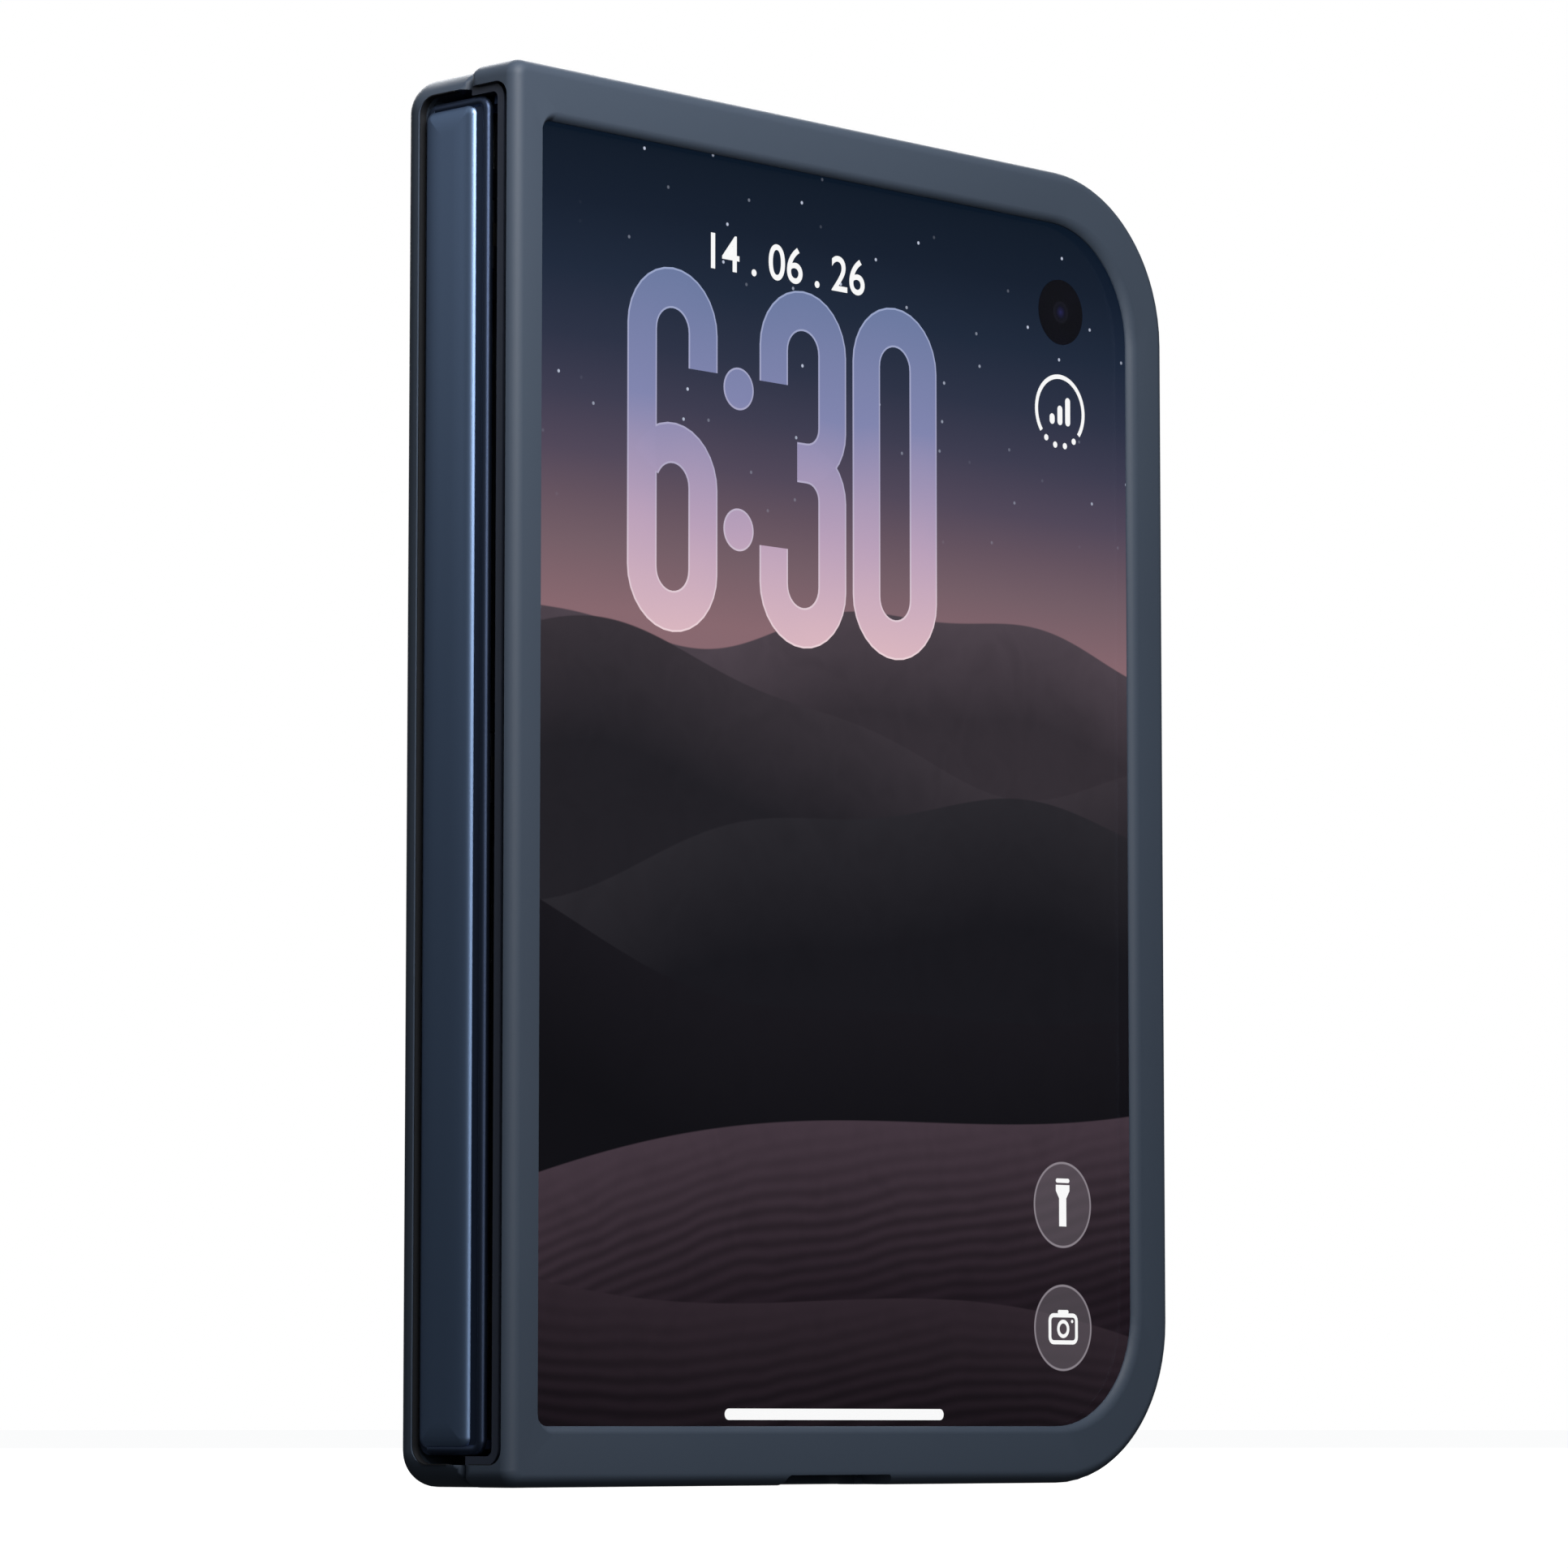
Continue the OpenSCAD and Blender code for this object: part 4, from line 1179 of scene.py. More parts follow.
class Form:
    """Points and faces of one piece while it is being built."""

    def __init__(self) -> None:
        """Starts empty."""
        self.points: List[Vector] = []
        self.faces: List[List[int]] = []

    def ring(self, points: Sequence[Vector]) -> List[int]:
        """Adds a ring of points.

        Args:
            points: the ring's points in metres.

        Returns:
            Their places in the piece.
        """
        start = len(self.points)
        self.points.extend(points)
        return list(range(start, len(self.points)))

    def bridge(self, one: Sequence[int], other: Sequence[int], closed: bool = True) -> None:
        """Joins two rings of the same length with four-sided faces.

        Args:
            one: the first ring.
            other: the second ring.
            closed: whether the rings close on themselves.
        """
        count = len(one)
        for index in range(count if closed else count - 1):
            after = (index + 1) % count
            self.faces.append([one[index], one[after], other[after], other[index]])

    def loft(self, rings: Sequence[Sequence[Vector]]) -> None:
        """Joins rings one after another and closes the first and the last.

        Args:
            rings: the rings in order.
        """
        placed = [self.ring(ring) for ring in rings]
        for one, other in zip(placed, placed[1:]):
            self.bridge(one, other)
        self.faces.append(list(reversed(placed[0])))
        self.faces.append(list(placed[-1]))

    def wrap(self, lines: Sequence[Sequence[Vector]]) -> None:
        """Closes four lines of equal length into a bar with square ends.

        Args:
            lines: the bar's four long edges in order round it.
        """
        placed = [self.ring(line) for line in lines]
        for index, line in enumerate(placed):
            self.bridge(line, placed[(index + 1) % 4], closed=False)
        self.faces.append([line[0] for line in reversed(placed)])
        self.faces.append([line[-1] for line in placed])

    def piece(
        self, name: str, finish: Finish, angle: float = 35.0, closed: bool = True
    ) -> bpy.types.Object:
        """The finished mesh as an object.

        Args:
            name: the object's name.
            finish: its finish.
            angle: edges sharper than this stay sharp.
            closed: whether the normals are worked out anew.

        Returns:
            The object.
        """
        mesh = bpy.data.meshes.new(name)
        mesh.from_pydata([tuple(point) for point in self.points], [], self.faces)
        build = bmesh.new()
        build.from_mesh(mesh)
        bmesh.ops.remove_doubles(build, verts=build.verts, dist=2e-7)
        if closed:
            bmesh.ops.recalc_face_normals(build, faces=build.faces)
        build.to_mesh(mesh)
        build.free()
        return Shop.dress(name, mesh, finish, angle)


class Shop:
    """What every sub-assembly shares: making objects and handing them over."""

    made: int = 0

    @staticmethod
    def dress(
        name: str, mesh: bpy.types.Mesh, finish: Finish, angle: float = 35.0
    ) -> bpy.types.Object:
        """Turns a mesh into a shaded object with its finish.

        Args:
            name: the object's name.
            mesh: its mesh, in metres in the part's frame.
            finish: its finish.
            angle: edges sharper than this stay sharp.

        Returns:
            The object.
        """
        mesh.materials.clear()
        mesh.materials.append(finish.material())
        mesh.polygons.foreach_set("use_smooth", [True] * len(mesh.polygons))
        mesh.set_sharp_from_angle(angle=math.radians(angle))
        made = bpy.data.objects.new(name, mesh)
        bpy.context.scene.collection.objects.link(made)
        weigh = made.modifiers.new("even_shading", "WEIGHTED_NORMAL")
        weigh.keep_sharp = True
        weigh.weight = 100
        return made

    @classmethod
    def hand_over(
        cls, piece: bpy.types.Object, body: str, slot: str, replaces: Sequence[str] = ()
    ) -> bpy.types.Object:
        """Puts a piece on its body and reports it.

        Args:
            piece: the piece.
            body: the body that it rides on.
            slot: the record's material slot; not used.
            replaces: the solids that it stands for.

        Returns:
            The piece.
        """
        if "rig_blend" not in piece:
            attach(piece, body)
        if replaces:
            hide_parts(*replaces)
        cls.made += 1
        log.info("%s on %s, %d faces", piece.name, body, len(piece.data.polygons))
        return piece

    @classmethod
    def refine(
        cls, node: str, angle: float = 40.0, finish: Optional[Finish] = None
    ) -> bpy.types.Object:
        """A solid's own shape with merged points and soft shading.

        Args:
            node: the solid.
            angle: edges sharper than this stay sharp.
            finish: its finish, else that of its slot.

        Returns:
            The piece that stands for the solid.
        """
        source = frame["nodes"][node].data
        mesh = source.copy()
        build = bmesh.new()
        build.from_mesh(mesh)
        bmesh.ops.remove_doubles(build, verts=build.verts, dist=1e-6)
        bmesh.ops.dissolve_limit(
            build,
            angle_limit=math.radians(0.5),
            verts=build.verts,
            edges=build.edges,
        )
        build.to_mesh(mesh)
        build.free()
        for layer in [a.name for a in mesh.attributes if a.name == "custom_normal"]:
            mesh.attributes.remove(mesh.attributes[layer])
        slot = SLOTS[node]
        piece = cls.dress(node + "_soft", mesh, finish or FINISHES[slot], angle)
        return cls.hand_over(piece, BODY_OF[node], slot, [node])


# ---- Flat signs on the display ----


class FlatArt:
    """Flat shapes in the plane of the display, facing the front."""

    def __init__(self, depth: float) -> None:
        """Starts a sheet at one depth.

        Args:
            depth: the sheet's v in millimetres.
        """
        self.depth = depth
        self.form = Form()

    def strip(self, path: Sequence[Point], width: float, closed: bool = False) -> None:
        """A stroke of even width along a path.

        Args:
            path: the middle of the stroke.
            width: its width.
            closed: whether the path closes on itself.
        """
        count = len(path)
        left, right = [], []
        for index, (u, z) in enumerate(path):
            before = path[index - 1] if closed or index else path[0]
            after = path[(index + 1) % count] if closed or index < count - 1 else path[-1]
            one = Vector((u - before[0], z - before[1]))
            two = Vector((after[0] - u, after[1] - z))
            one = one.normalized() if one.length else two.normalized()
            two = two.normalized() if two.length else one
            mean = (one + two).normalized()
            reach = width / 2 / max(mean.dot(one), 0.5)
            left.append(PLAN.at(u - mean.y * reach, self.depth, z + mean.x * reach))
            right.append(PLAN.at(u + mean.y * reach, self.depth, z - mean.x * reach))
        one_ring, other_ring = self.form.ring(right), self.form.ring(left)
        self.form.bridge(one_ring, other_ring, closed)

    def patch(self, outline: Sequence[Point]) -> None:
        """A filled outline, anticlockwise from the front.

        Args:
            outline: its points.
        """
        self.form.faces.append(self.form.ring([PLAN.at(u, self.depth, z) for u, z in outline]))

    def disc(self, centre: Point, radius: float, steps: int = 40) -> None:
        """A filled circle.

        Args:
            centre: its centre.
            radius: its radius.
            steps: its sides.
        """
        self.patch(arc(centre, radius, 0, 360 - 360 / steps, steps - 1))

    def bar(self, u: Point, z: Point) -> None:
        """A bar with round ends.

        Args:
            u: its ends along u.
            z: its foot and top.
        """
        radius = min(u[1] - u[0], z[1] - z[0]) / 2
        self.patch(rounded(u, z, radius, radius))

    def finish(self, name: str, finish: Finish) -> bpy.types.Object:
        """The sheet as a piece of the front half's display.

        Args:
            name: the piece's name.
            finish: its finish.

        Returns:
            The piece.
        """
        piece = self.form.piece(name, finish, closed=False)
        return Shop.hand_over(piece, "front_half", "cover_panel")


class Digit(Enum):
    """The digits that the clock shows."""

    ZERO = 0
    THREE = 3
    SIX = 6


@dataclass
class CoverDisplay:
    """The lit signs of the cover display: clock, date, status, buttons and the foot bar."""

    depth: float = 1.62
    layer: float = 0.015
    clock_foot: float = 76.65
    clock_top: float = 105.55
    digit_w: float = 7.6
    stroke: float = 3.3
    rim: float = 0.34
    six_u: float = 17.05
    colon_u: float = 29.15
    three_u: float = 33.65
    zero_u: float = 45.75
    status: Point = (72.3, 100.4)
    torch: Point = (72.2, 25.7)
    camera: Point = (72.2, 14.3)
    foot_bar_u: Point = (27.5, 55.8)
    foot_bar_z: Point = (5.75, 6.75)
    stroke_tip: float = 3.2
    middle_share: float = 0.52
    colon_shares: Point = (0.28, 0.72)
    colon_r: float = 1.75
    fade_past: float = 1.6
    date_at: Point = (35.2, 108.0)
    date_size: float = 4.6
    date_weight: float = 0.04
    status_r: float = 3.3
    status_dots: Tuple[float, ...] = (-126, -102, -78, -54)
    torch_half: Tuple[Point, ...] = ((0.95, 1.85), (0.95, 1.3), (0.5, 0.6), (0.5, -2.0))

    def paths(self, digit: Digit, u: float) -> List[Tuple[List[Point], bool]]:
        """Middle lines of a digit's strokes.

        Args:
            digit: the digit.
            u: the left end of its middle lines.

        Returns:
            Each path and whether it closes.
        """
        low, high, right = self.clock_foot, self.clock_top, u + self.digit_w
        half = self.digit_w / 2
        mid = low + (high - low) * self.middle_share
        top = arc((u + half, high - half), half, 0, 180, 16)
        foot = arc((u + half, low + half), half, 180, 360, 16)
        if digit is Digit.ZERO:
            return [(top + foot, True)]
        if digit is Digit.SIX:
            crown = arc((u + half, mid - half), half, 0, 150, 14)
            path = [(right, high - half - self.stroke_tip)] + top + foot + crown
            return [(path, False)]
        bend = half * 0.86
        upper = arc((right - bend, mid + bend), bend, 0, -90, 8)
        lower = arc((right - bend, mid - bend), bend, 90, 0, 8)
        lead = list(reversed(top))
        tail = list(reversed(foot))
        start, end = (u, high - half - self.stroke_tip), (u, low + half + self.stroke_tip)
        waist = (u + half * 0.8, mid)
        return [([start] + lead + upper + [waist], False), ([waist] + lower + tail + [end], False)]

    def clock(self) -> None:
        """Builds the clock's numbers over their light rims."""
        spread = self.clock_top - self.clock_foot
        low, high = self.clock_foot - self.fade_past, self.clock_top + self.fade_past
        fade = GlowFade("clock_fill", low, high)
        edge = GlowFade(
            "clock_rim",
            low,
            high,
            ((0.0, tint(240, 214, 220)), (0.5, tint(176, 170, 200)), (1.0, tint(156, 168, 204))),
        )
        for name, finish, grow, depth in (
            ("clock_rims", edge, self.rim, self.depth),
            ("clock_numbers", fade, 0.0, self.depth - self.layer),
        ):
            art = FlatArt(depth)
            for digit, u in (
                (Digit.SIX, self.six_u),
                (Digit.THREE, self.three_u),
                (Digit.ZERO, self.zero_u),
            ):
                for path, closed in self.paths(digit, u):
                    art.strip(path, self.stroke + grow, closed)
            for share in self.colon_shares:
                middle = (self.colon_u, self.clock_foot + spread * share)
                art.disc(middle, self.colon_r + grow / 2)
            art.finish(name, finish)

    def date(self) -> None:
        """Builds the date, in numbers alone."""
        words = bpy.data.curves.new("date_text", "FONT")
        words.body = "14 . 06 . 26"
        words.size = self.date_size / 1000
        words.align_x = "CENTER"
        words.offset = self.date_weight / 1000
        holder = bpy.data.objects.new("date_text", words)
        bpy.context.scene.collection.objects.link(holder)
        graph = bpy.context.evaluated_depsgraph_get()
        mesh = bpy.data.meshes.new_from_object(holder.evaluated_get(graph))
        bpy.data.objects.remove(holder)
        place = PLAN.at(self.date_at[0], self.depth, self.date_at[1])
        for point in mesh.vertices:
            point.co = Vector((point.co.x + place.x, place.y, point.co.y + place.z))
        piece = Shop.dress("date_numbers", mesh, Glow("sign_white"))
        Shop.hand_over(piece, "front_half", "cover_panel")

    def signs(self) -> None:
        """Builds the status ring, the two button signs and the foot bar."""
        art = FlatArt(self.depth)
        u, z = self.status
        art.strip(arc((u, z), self.status_r, -38, 218, 48), 0.42)
        for turn in self.status_dots:
            art.disc(arc((u, z), self.status_r, turn, turn, 1)[0], 0.3, 14)
        for index in range(3):
            art.bar(
                (u - 1.45 + index * 1.1, u - 0.75 + index * 1.1),
                (z - 1.3, z - 0.3 + index * 0.85),
            )
        u, z = self.torch
        left = [(u - out, z + up) for out, up in self.torch_half]
        right = [(u + out, z + up) for out, up in reversed(self.torch_half)]
        art.patch(left + right)
        art.bar((u - 0.95, u + 0.95), (z + 2.05, z + 2.45))
        u, z = self.camera
        art.strip(rounded((u - 1.85, u + 1.85), (z - 1.35, z + 1.15), 0.5, 0.5, 0, 4), 0.38, True)
        art.strip(arc((u, z - 0.1), 0.68, 0, 345, 23), 0.34, True)
        art.bar((u - 0.75, u + 0.75), (z + 1.3, z + 1.65))
        art.disc((u + 1.25, z + 0.6), 0.16, 10)
        art.bar(self.foot_bar_u, self.foot_bar_z)
        art.finish("display_signs", Glow("sign_white"))

    def build(self) -> None:
        """Builds every sign."""
        self.clock()
        self.date()
        self.signs()


# ---- Sub-assemblies ----


@dataclass
class SoftCase:
    """The two silicone shells, near-black sheets of painted shade along the slot's walls, the lining and the
    clip rail.
    """

    soft_nodes: Tuple[str, ...] = ("front_shell", "rear_shell")
    angle: float = 62.0
    slot_z: Point = (1.9, 121.1)
    rear_wall_v: float = 12.3
    rear_bend_r: float = 1.7
    rear_end_v: float = 8.0
    front_wall_v: float = 1.05
    front_bend_r: float = 1.4
    front_end_v: float = 5.2
    # The next three fields shape painted shade: a near-black plastic sheet on each slot wall, where the slot
    # falls into shadow.
    shade_sheet_u: Point = (0.16, 0.86)
    shade_sheet_t: float = 0.09
    shade_sheet_finish: Finish = MouldedPlastic("slot_edging", tint(14, 16, 21), 0.6)

    def slot_edging(self, body: str, wall: float, bend: float, end: float) -> None:
        """Builds a thin near-black sheet of painted shade that follows the slot's wall and both its corners.

        Args:
            body: the half that carries it.
            wall: the slot's side wall.
            bend: radius of the slot's corners.
            end: where the edging ends, near the fold.
        """
        foot, top = self.slot_z
        side = 1 if wall > end else -1
        centre = wall - side * bend
        lines = []
        for u, inset in (
            (self.shade_sheet_u[0], 0.0),
            (self.shade_sheet_u[0], self.shade_sheet_t),
            (self.shade_sheet_u[1], self.shade_sheet_t),
            (self.shade_sheet_u[1], 0.0),
        ):
            path = [(end, top - inset)]
            for v, z in arc((0.0, top - bend), bend - inset, 90, 0, 10):
                path.append((centre + side * v, z))
            for v, z in arc((0.0, foot + bend), bend - inset, 0, -90, 10):
                path.append((centre + side * v, z))
            path.append((end, foot + inset))
            lines.append([PLAN.at(u, v, z) for v, z in path])
        if side < 0:
            lines.reverse()
        form = Form()
        form.wrap(lines)
        piece = form.piece("slot_edging_" + body, self.shade_sheet_finish, 50)
        Shop.hand_over(piece, body, "clip_plastic")

    def build(self) -> None:
        """Refines the shells and the rail and lines the slot's walls with sheets of painted shade."""
        for node in self.soft_nodes:
            Shop.refine(node, self.angle)
        Shop.refine("clip_rail", 40)
        Shop.refine("rear_lining", 30)
        self.slot_edging("rear_half", self.rear_wall_v, self.rear_bend_r, self.rear_end_v)
        self.slot_edging("front_half", self.front_wall_v, self.front_bend_r, self.front_end_v)


@dataclass
class Spine:
    """The hinge cover with its rounded edges, its tray and rim, and the display's bend."""

    v: Point = (5.6, 11.9)
    z: Point = (3.25, 119.75)
    face_u: float = 0.1
    profile: Tuple[Point, ...] = (
        (0.0, 0.78),
        (0.03, 0.66),
        (0.1, 0.52),
        (0.22, 0.38),
        (0.38, 0.27),
        (0.58, 0.18),
        (0.84, 0.11),
        (1.2, 0.05),
        (1.7, 0.015),
        (2.3, 0.0),
    )
    wall: float = 0.5
    corner_r: float = 1.0
    side_u: float = 0.9
    tray_v: Point = (3.86, 12.0)
    tray_z: Point = (2.75, 120.25)
    tray_u: Point = (0.74, 0.9)
    tray_r: float = 1.3
    rim_u: float = 0.86
    rim_r: float = 0.44
    # A darker copy of the cover's metal: painted shade for the tray and rim down in the slot.
    tray_shaded_finish: Finish = BlastedMetal("tray_metal", tint(70, 82, 106), 0.45)
    axis_u: float = 1.6
    axis_out: float = 1.75
    display_depth: Point = (1.5, 1.25)
    display_z: Point = (3.65, 119.35)
    display_v: Point = (2.8, 12.2)
    bend_u: Point = (3.1, 3.425)
    bend_out: float = 0.325
    rows: int = 40

    def cover(self) -> None:
        """Builds the cover as a shell with rounded edges all round."""
        form = Form()
        rings = [
            self.ring(self.face_u + self.wall, self.wall + 0.3),
            self.ring(self.side_u, self.wall),
            self.ring(self.side_u, 0.0),
        ]
        rings += [self.ring(self.face_u + drop, inset) for inset, drop in self.profile]
        form.loft(rings)
        piece = form.piece("spine_shell", FINISHES["spine_metal"], 50)
        Shop.hand_over(piece, "spine", "spine_metal", ["spine_cover"])

    def ring(self, u: float, inset: float) -> List[Vector]:
        """Outline of the cover at one depth.

        Args:
            u: the depth.
            inset: how far it is pulled in.

        Returns:
            The outline's points.
        """
        outline = rounded(self.v, self.z, self.corner_r, self.corner_r, inset)
        return [PLAN.at(u, v, z) for v, z in outline]

    def tray(self) -> None:
        """Builds the thin tray that carries the cover and closes the slot round it, in a darker copy of the
        cover's metal as painted shade.
        """
        form = Form()
        outline = rounded(self.tray_v, self.tray_z, self.tray_r, self.tray_r)
        form.loft([[PLAN.at(u, v, z) for v, z in outline] for u in reversed(self.tray_u)])
        piece = form.piece("spine_tray", self.tray_shaded_finish, 50)
        Shop.hand_over(piece, "spine", "spine_metal")

    def rim(self) -> None:
        """Sweeps the round rim along the tray's front edge and round its ends, in the tray's darker metal as
        painted shade.
        """
        inset = self.rim_r
        foot, top = self.tray_z[0] + inset, self.tray_z[1] - inset
        front, bend = self.tray_v[0] + inset, self.tray_r - inset
        path = [(self.tray_v[1] - self.tray_r, top)]
        path += arc((front + bend, top - bend), bend, 90, 180, 8)
        path += arc((front + bend, foot + bend), bend, 180, 270, 8)
        path += [(self.tray_v[1] - self.tray_r, foot)]
        line = bpy.data.curves.new("rim_path", "CURVE")
        line.dimensions = "3D"
        spline = line.splines.new("POLY")
        spline.points.add(len(path) - 1)
        for point, (v, z) in zip(spline.points, path):
            point.co = (*PLAN.at(self.rim_u, v, z), 1.0)
        piece = Sweep("rim_sweep", self.rim_r, self.tray_shaded_finish).along("spine_rim", line)
        Shop.hand_over(piece, "spine", "spine_metal")

    def bend_point(self, v: float, depth: float, side: int) -> Vector:
        """A point of the folded display that lies flat once the phone is open.

        The open display is a plane. Each point is turned back about its half's axis by the
        share that blend() will give it, so that blend() brings it to that plane.

        Args:
            v: where the point lies when the phone is open.
            depth: distance of its layer from the hinge axes.
            side: 1 for the rear half and -1 for the front half.

        Returns:
            The point at rest.
        """
        axis_u, axis_v = self.axis_u, PLAN.fold_v + side * self.axis_out
        start, end = self.bend_span(side)
        step = ((end[0] - start[0]), (end[1] - start[1]))
        length = step[0] ** 2 + step[1] ** 2

        def rest(share: float) -> Point:
            """The point at rest, if blend() gives it this share of the turn."""
            turn = -share * math.pi / 2 * side
            du, dv = depth, v - axis_v
            return (
                axis_u + du * math.cos(turn) - dv * math.sin(turn),
                axis_v + du * math.sin(turn) + dv * math.cos(turn),
            )

        low, high = 0.0, 1.0
        for _ in range(40):
            middle = (low + high) / 2
            point = rest(middle)
            along = (point[0] - start[0]) * step[0] + (point[1] - start[1]) * step[1]
            reach = min(max(along / length, 0.0), 1.0)
            if reach * reach * (3 - 2 * reach) > middle:
                low = middle
            else:
                high = middle
        u, rest_v = rest((low + high) / 2)
        return PLAN.at(u, rest_v, 0)

    def bend_span(self, side: int) -> Tuple[Point, Point]:
        """Where the bend starts and ends, in (u, v).

        Args:
            side: 1 for the rear half and -1 for the front half.

        Returns:
            The two points.
        """
        start_u, end_u = self.bend_u
        return (start_u, PLAN.fold_v), (end_u, PLAN.fold_v + side * self.bend_out)

    def folding_display(self) -> None:
        """Builds the display's bend in two strips, one across each hinge axis."""
        foot, top = self.display_z
        face, back = self.display_depth
        edges = ((face, foot), (face, top), (back, top), (back, foot))
        front_v, rear_v = self.display_v
        for side, body, last in ((1, "rear_half", rear_v), (-1, "front_half", front_v)):
            lines = []
            for depth, z in edges:
                line = []
                for row in range(self.rows + 1):
                    v = PLAN.fold_v + (last - PLAN.fold_v) * row / self.rows
                    point = self.bend_point(v, depth, side)
                    line.append(Vector((point.x, point.y, z / 1000)))
                lines.append(line)
            form = Form()
            form.wrap(lines)
            name = f"display_bend_{body}"
            piece = form.piece(name, FINISHES["fold_glass"], 50)
            start, end = self.bend_span(side)
            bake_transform(piece, "spine", body, PLAN.at(*start, 0), PLAN.at(*end, 0))
            Shop.hand_over(piece, f"spine and {body}", "fold_glass", ["fold_display"])

    def build(self) -> None:
        """Builds the spine's visible pieces."""
        self.cover()
        self.tray()
        self.rim()
        self.folding_display()


class GeometryBench(Bench):
    """A Geometry Nodes tree with named inputs."""

    def __init__(self, name: str) -> None:
        """Starts a tree with geometry in and out.

        Args:
            name: the tree's name.
        """
        tree = bpy.data.node_groups.new(name, "GeometryNodeTree")
        super().__init__(tree)
        self.sockets: Dict[str, str] = {}
        tree.interface.new_socket("Geometry", in_out="INPUT", socket_type="NodeSocketGeometry")
        tree.interface.new_socket("Geometry", in_out="OUTPUT", socket_type="NodeSocketGeometry")
        self.entry = tree.nodes.new("NodeGroupInput")
        self.exit = tree.nodes.new("NodeGroupOutput")

    def size_input(self, name: str, value: float) -> bpy.types.NodeSocket:
        """Adds a named length.

        Args:
            name: its name.
            value: its default in metres.

        Returns:
            The socket that gives it.
        """
        item = self.tree.interface.new_socket(
            name, in_out="INPUT", socket_type="NodeSocketFloat"
        )
        item.default_value = value
        self.sockets[name] = item.identifier
        return self.pick(self.entry.outputs, item.identifier)

    def end(self, geometry: bpy.types.NodeSocket, finish: Finish) -> None:
        """Ends the tree in real geometry with its finish.

        Args:
            geometry: what the tree has made.
            finish: the finish.
        """
        real = self.node("GeometryNodeRealizeInstances", None, {0: geometry})
        painted = self.node(
            "GeometryNodeSetMaterial",
            None,
            {"Geometry": real.outputs[0], "Material": finish.material()},
        )
        self.feed(self.exit.inputs[0], painted.outputs[0])

    def run(
        self, name: str, source: Any, sizes: Mapping[str, float], finish: Finish
    ) -> bpy.types.Object:
        """Runs the tree on a mesh or curve and returns a plain mesh object.

        Args:
            name: the new object's name.
            source: the mesh or curve that the tree works on.
            sizes: values of the named inputs.
            finish: the finish.

        Returns:
            The object.
        """
        holder = bpy.data.objects.new(name + "_path", source)
        bpy.context.scene.collection.objects.link(holder)
        modifier = holder.modifiers.new("shape", "NODES")
        modifier.node_group = self.tree
        for key, value in sizes.items():
            modifier[self.sockets[key]] = value
        graph = bpy.context.evaluated_depsgraph_get()
        mesh = bpy.data.meshes.new_from_object(holder.evaluated_get(graph))
        bpy.data.objects.remove(holder)
        return Shop.dress(name, mesh, finish)


@dataclass
class Sweep:
    """A round profile swept along a path with Geometry Nodes."""

    name: str
    radius: float
    finish: Finish

    def along(self, name: str, path: bpy.types.Curve) -> bpy.types.Object:
        """The swept piece.

        Args:
            name: its name.
            path: the path in metres.

        Returns:
            The piece.
        """
        bench = GeometryBench(self.name)
        radius = bench.size_input("Radius", self.radius / 1000)
        profile = bench.node(
            "GeometryNodeCurvePrimitiveCircle", {"mode": "RADIUS"}, {"Resolution": 20}
        )
        bench.feed(bench.pick(profile.inputs, "Radius"), radius)
        swept = bench.node(
            "GeometryNodeCurveToMesh",
            None,
            {0: bench.entry.outputs[0], 1: profile.outputs[0], "Fill Caps": True},
        )
        bench.end(swept.outputs[0], self.finish)
        return bench.run(name, path, {"Radius": self.radius / 1000}, self.finish)


@dataclass
class Winding:
    """The charging coil as one flat spiral of wire, wound with Geometry Nodes."""

    centre: Point = (44.575, 55.0)
    v: float = 11.175
    reach: Point = (10.3, 19.7)
    turns: float = 19.0
    wire_r: float = 0.2
    wire_sides: int = 8
    steps: int = 56

    def build(self) -> None:
        """Winds the coil."""
        bench = GeometryBench("coil_winding")
        sizes = {
            "Inner Radius": self.reach[0] / 1000,
            "Outer Radius": self.reach[1] / 1000,
            "Wire Radius": self.wire_r / 1000,
        }
        inner, outer, wire = [bench.size_input(key, size) for key, size in sizes.items()]
        spiral = bench.node(
            "GeometryNodeCurveSpiral",
            None,
            {
                "Resolution": self.steps,
                "Rotations": self.turns,
                "Start Radius": inner,
                "End Radius": outer,
                "Height": 0.0,
            },
        )
        profile = bench.node("GeometryNodeCurvePrimitiveCircle", {"mode": "RADIUS"})
        bench.feed(bench.pick(profile.inputs, "Resolution"), self.wire_sides)
        bench.feed(bench.pick(profile.inputs, "Radius"), wire)
        swept = bench.node(
            "GeometryNodeCurveToMesh",
            None,
            {0: spiral.outputs[0], 1: profile.outputs[0], "Fill Caps": True},
        )
        placed = bench.node(
            "GeometryNodeTransform",
            None,
            {
                "Geometry": swept.outputs[0],
                "Translation": PLAN.at(self.centre[0], self.v, self.centre[1]),
                "Rotation": (math.pi / 2, 0.0, 0.0),
            },
        )
        bench.end(placed.outputs[0], FINISHES["coil_copper"])
        start = bpy.data.meshes.new("coil_start")
        piece = bench.run("charging_winding", start, sizes, FINISHES["coil_copper"])
        Shop.hand_over(piece, "rear_half", "coil_copper", ["charging_coil"])


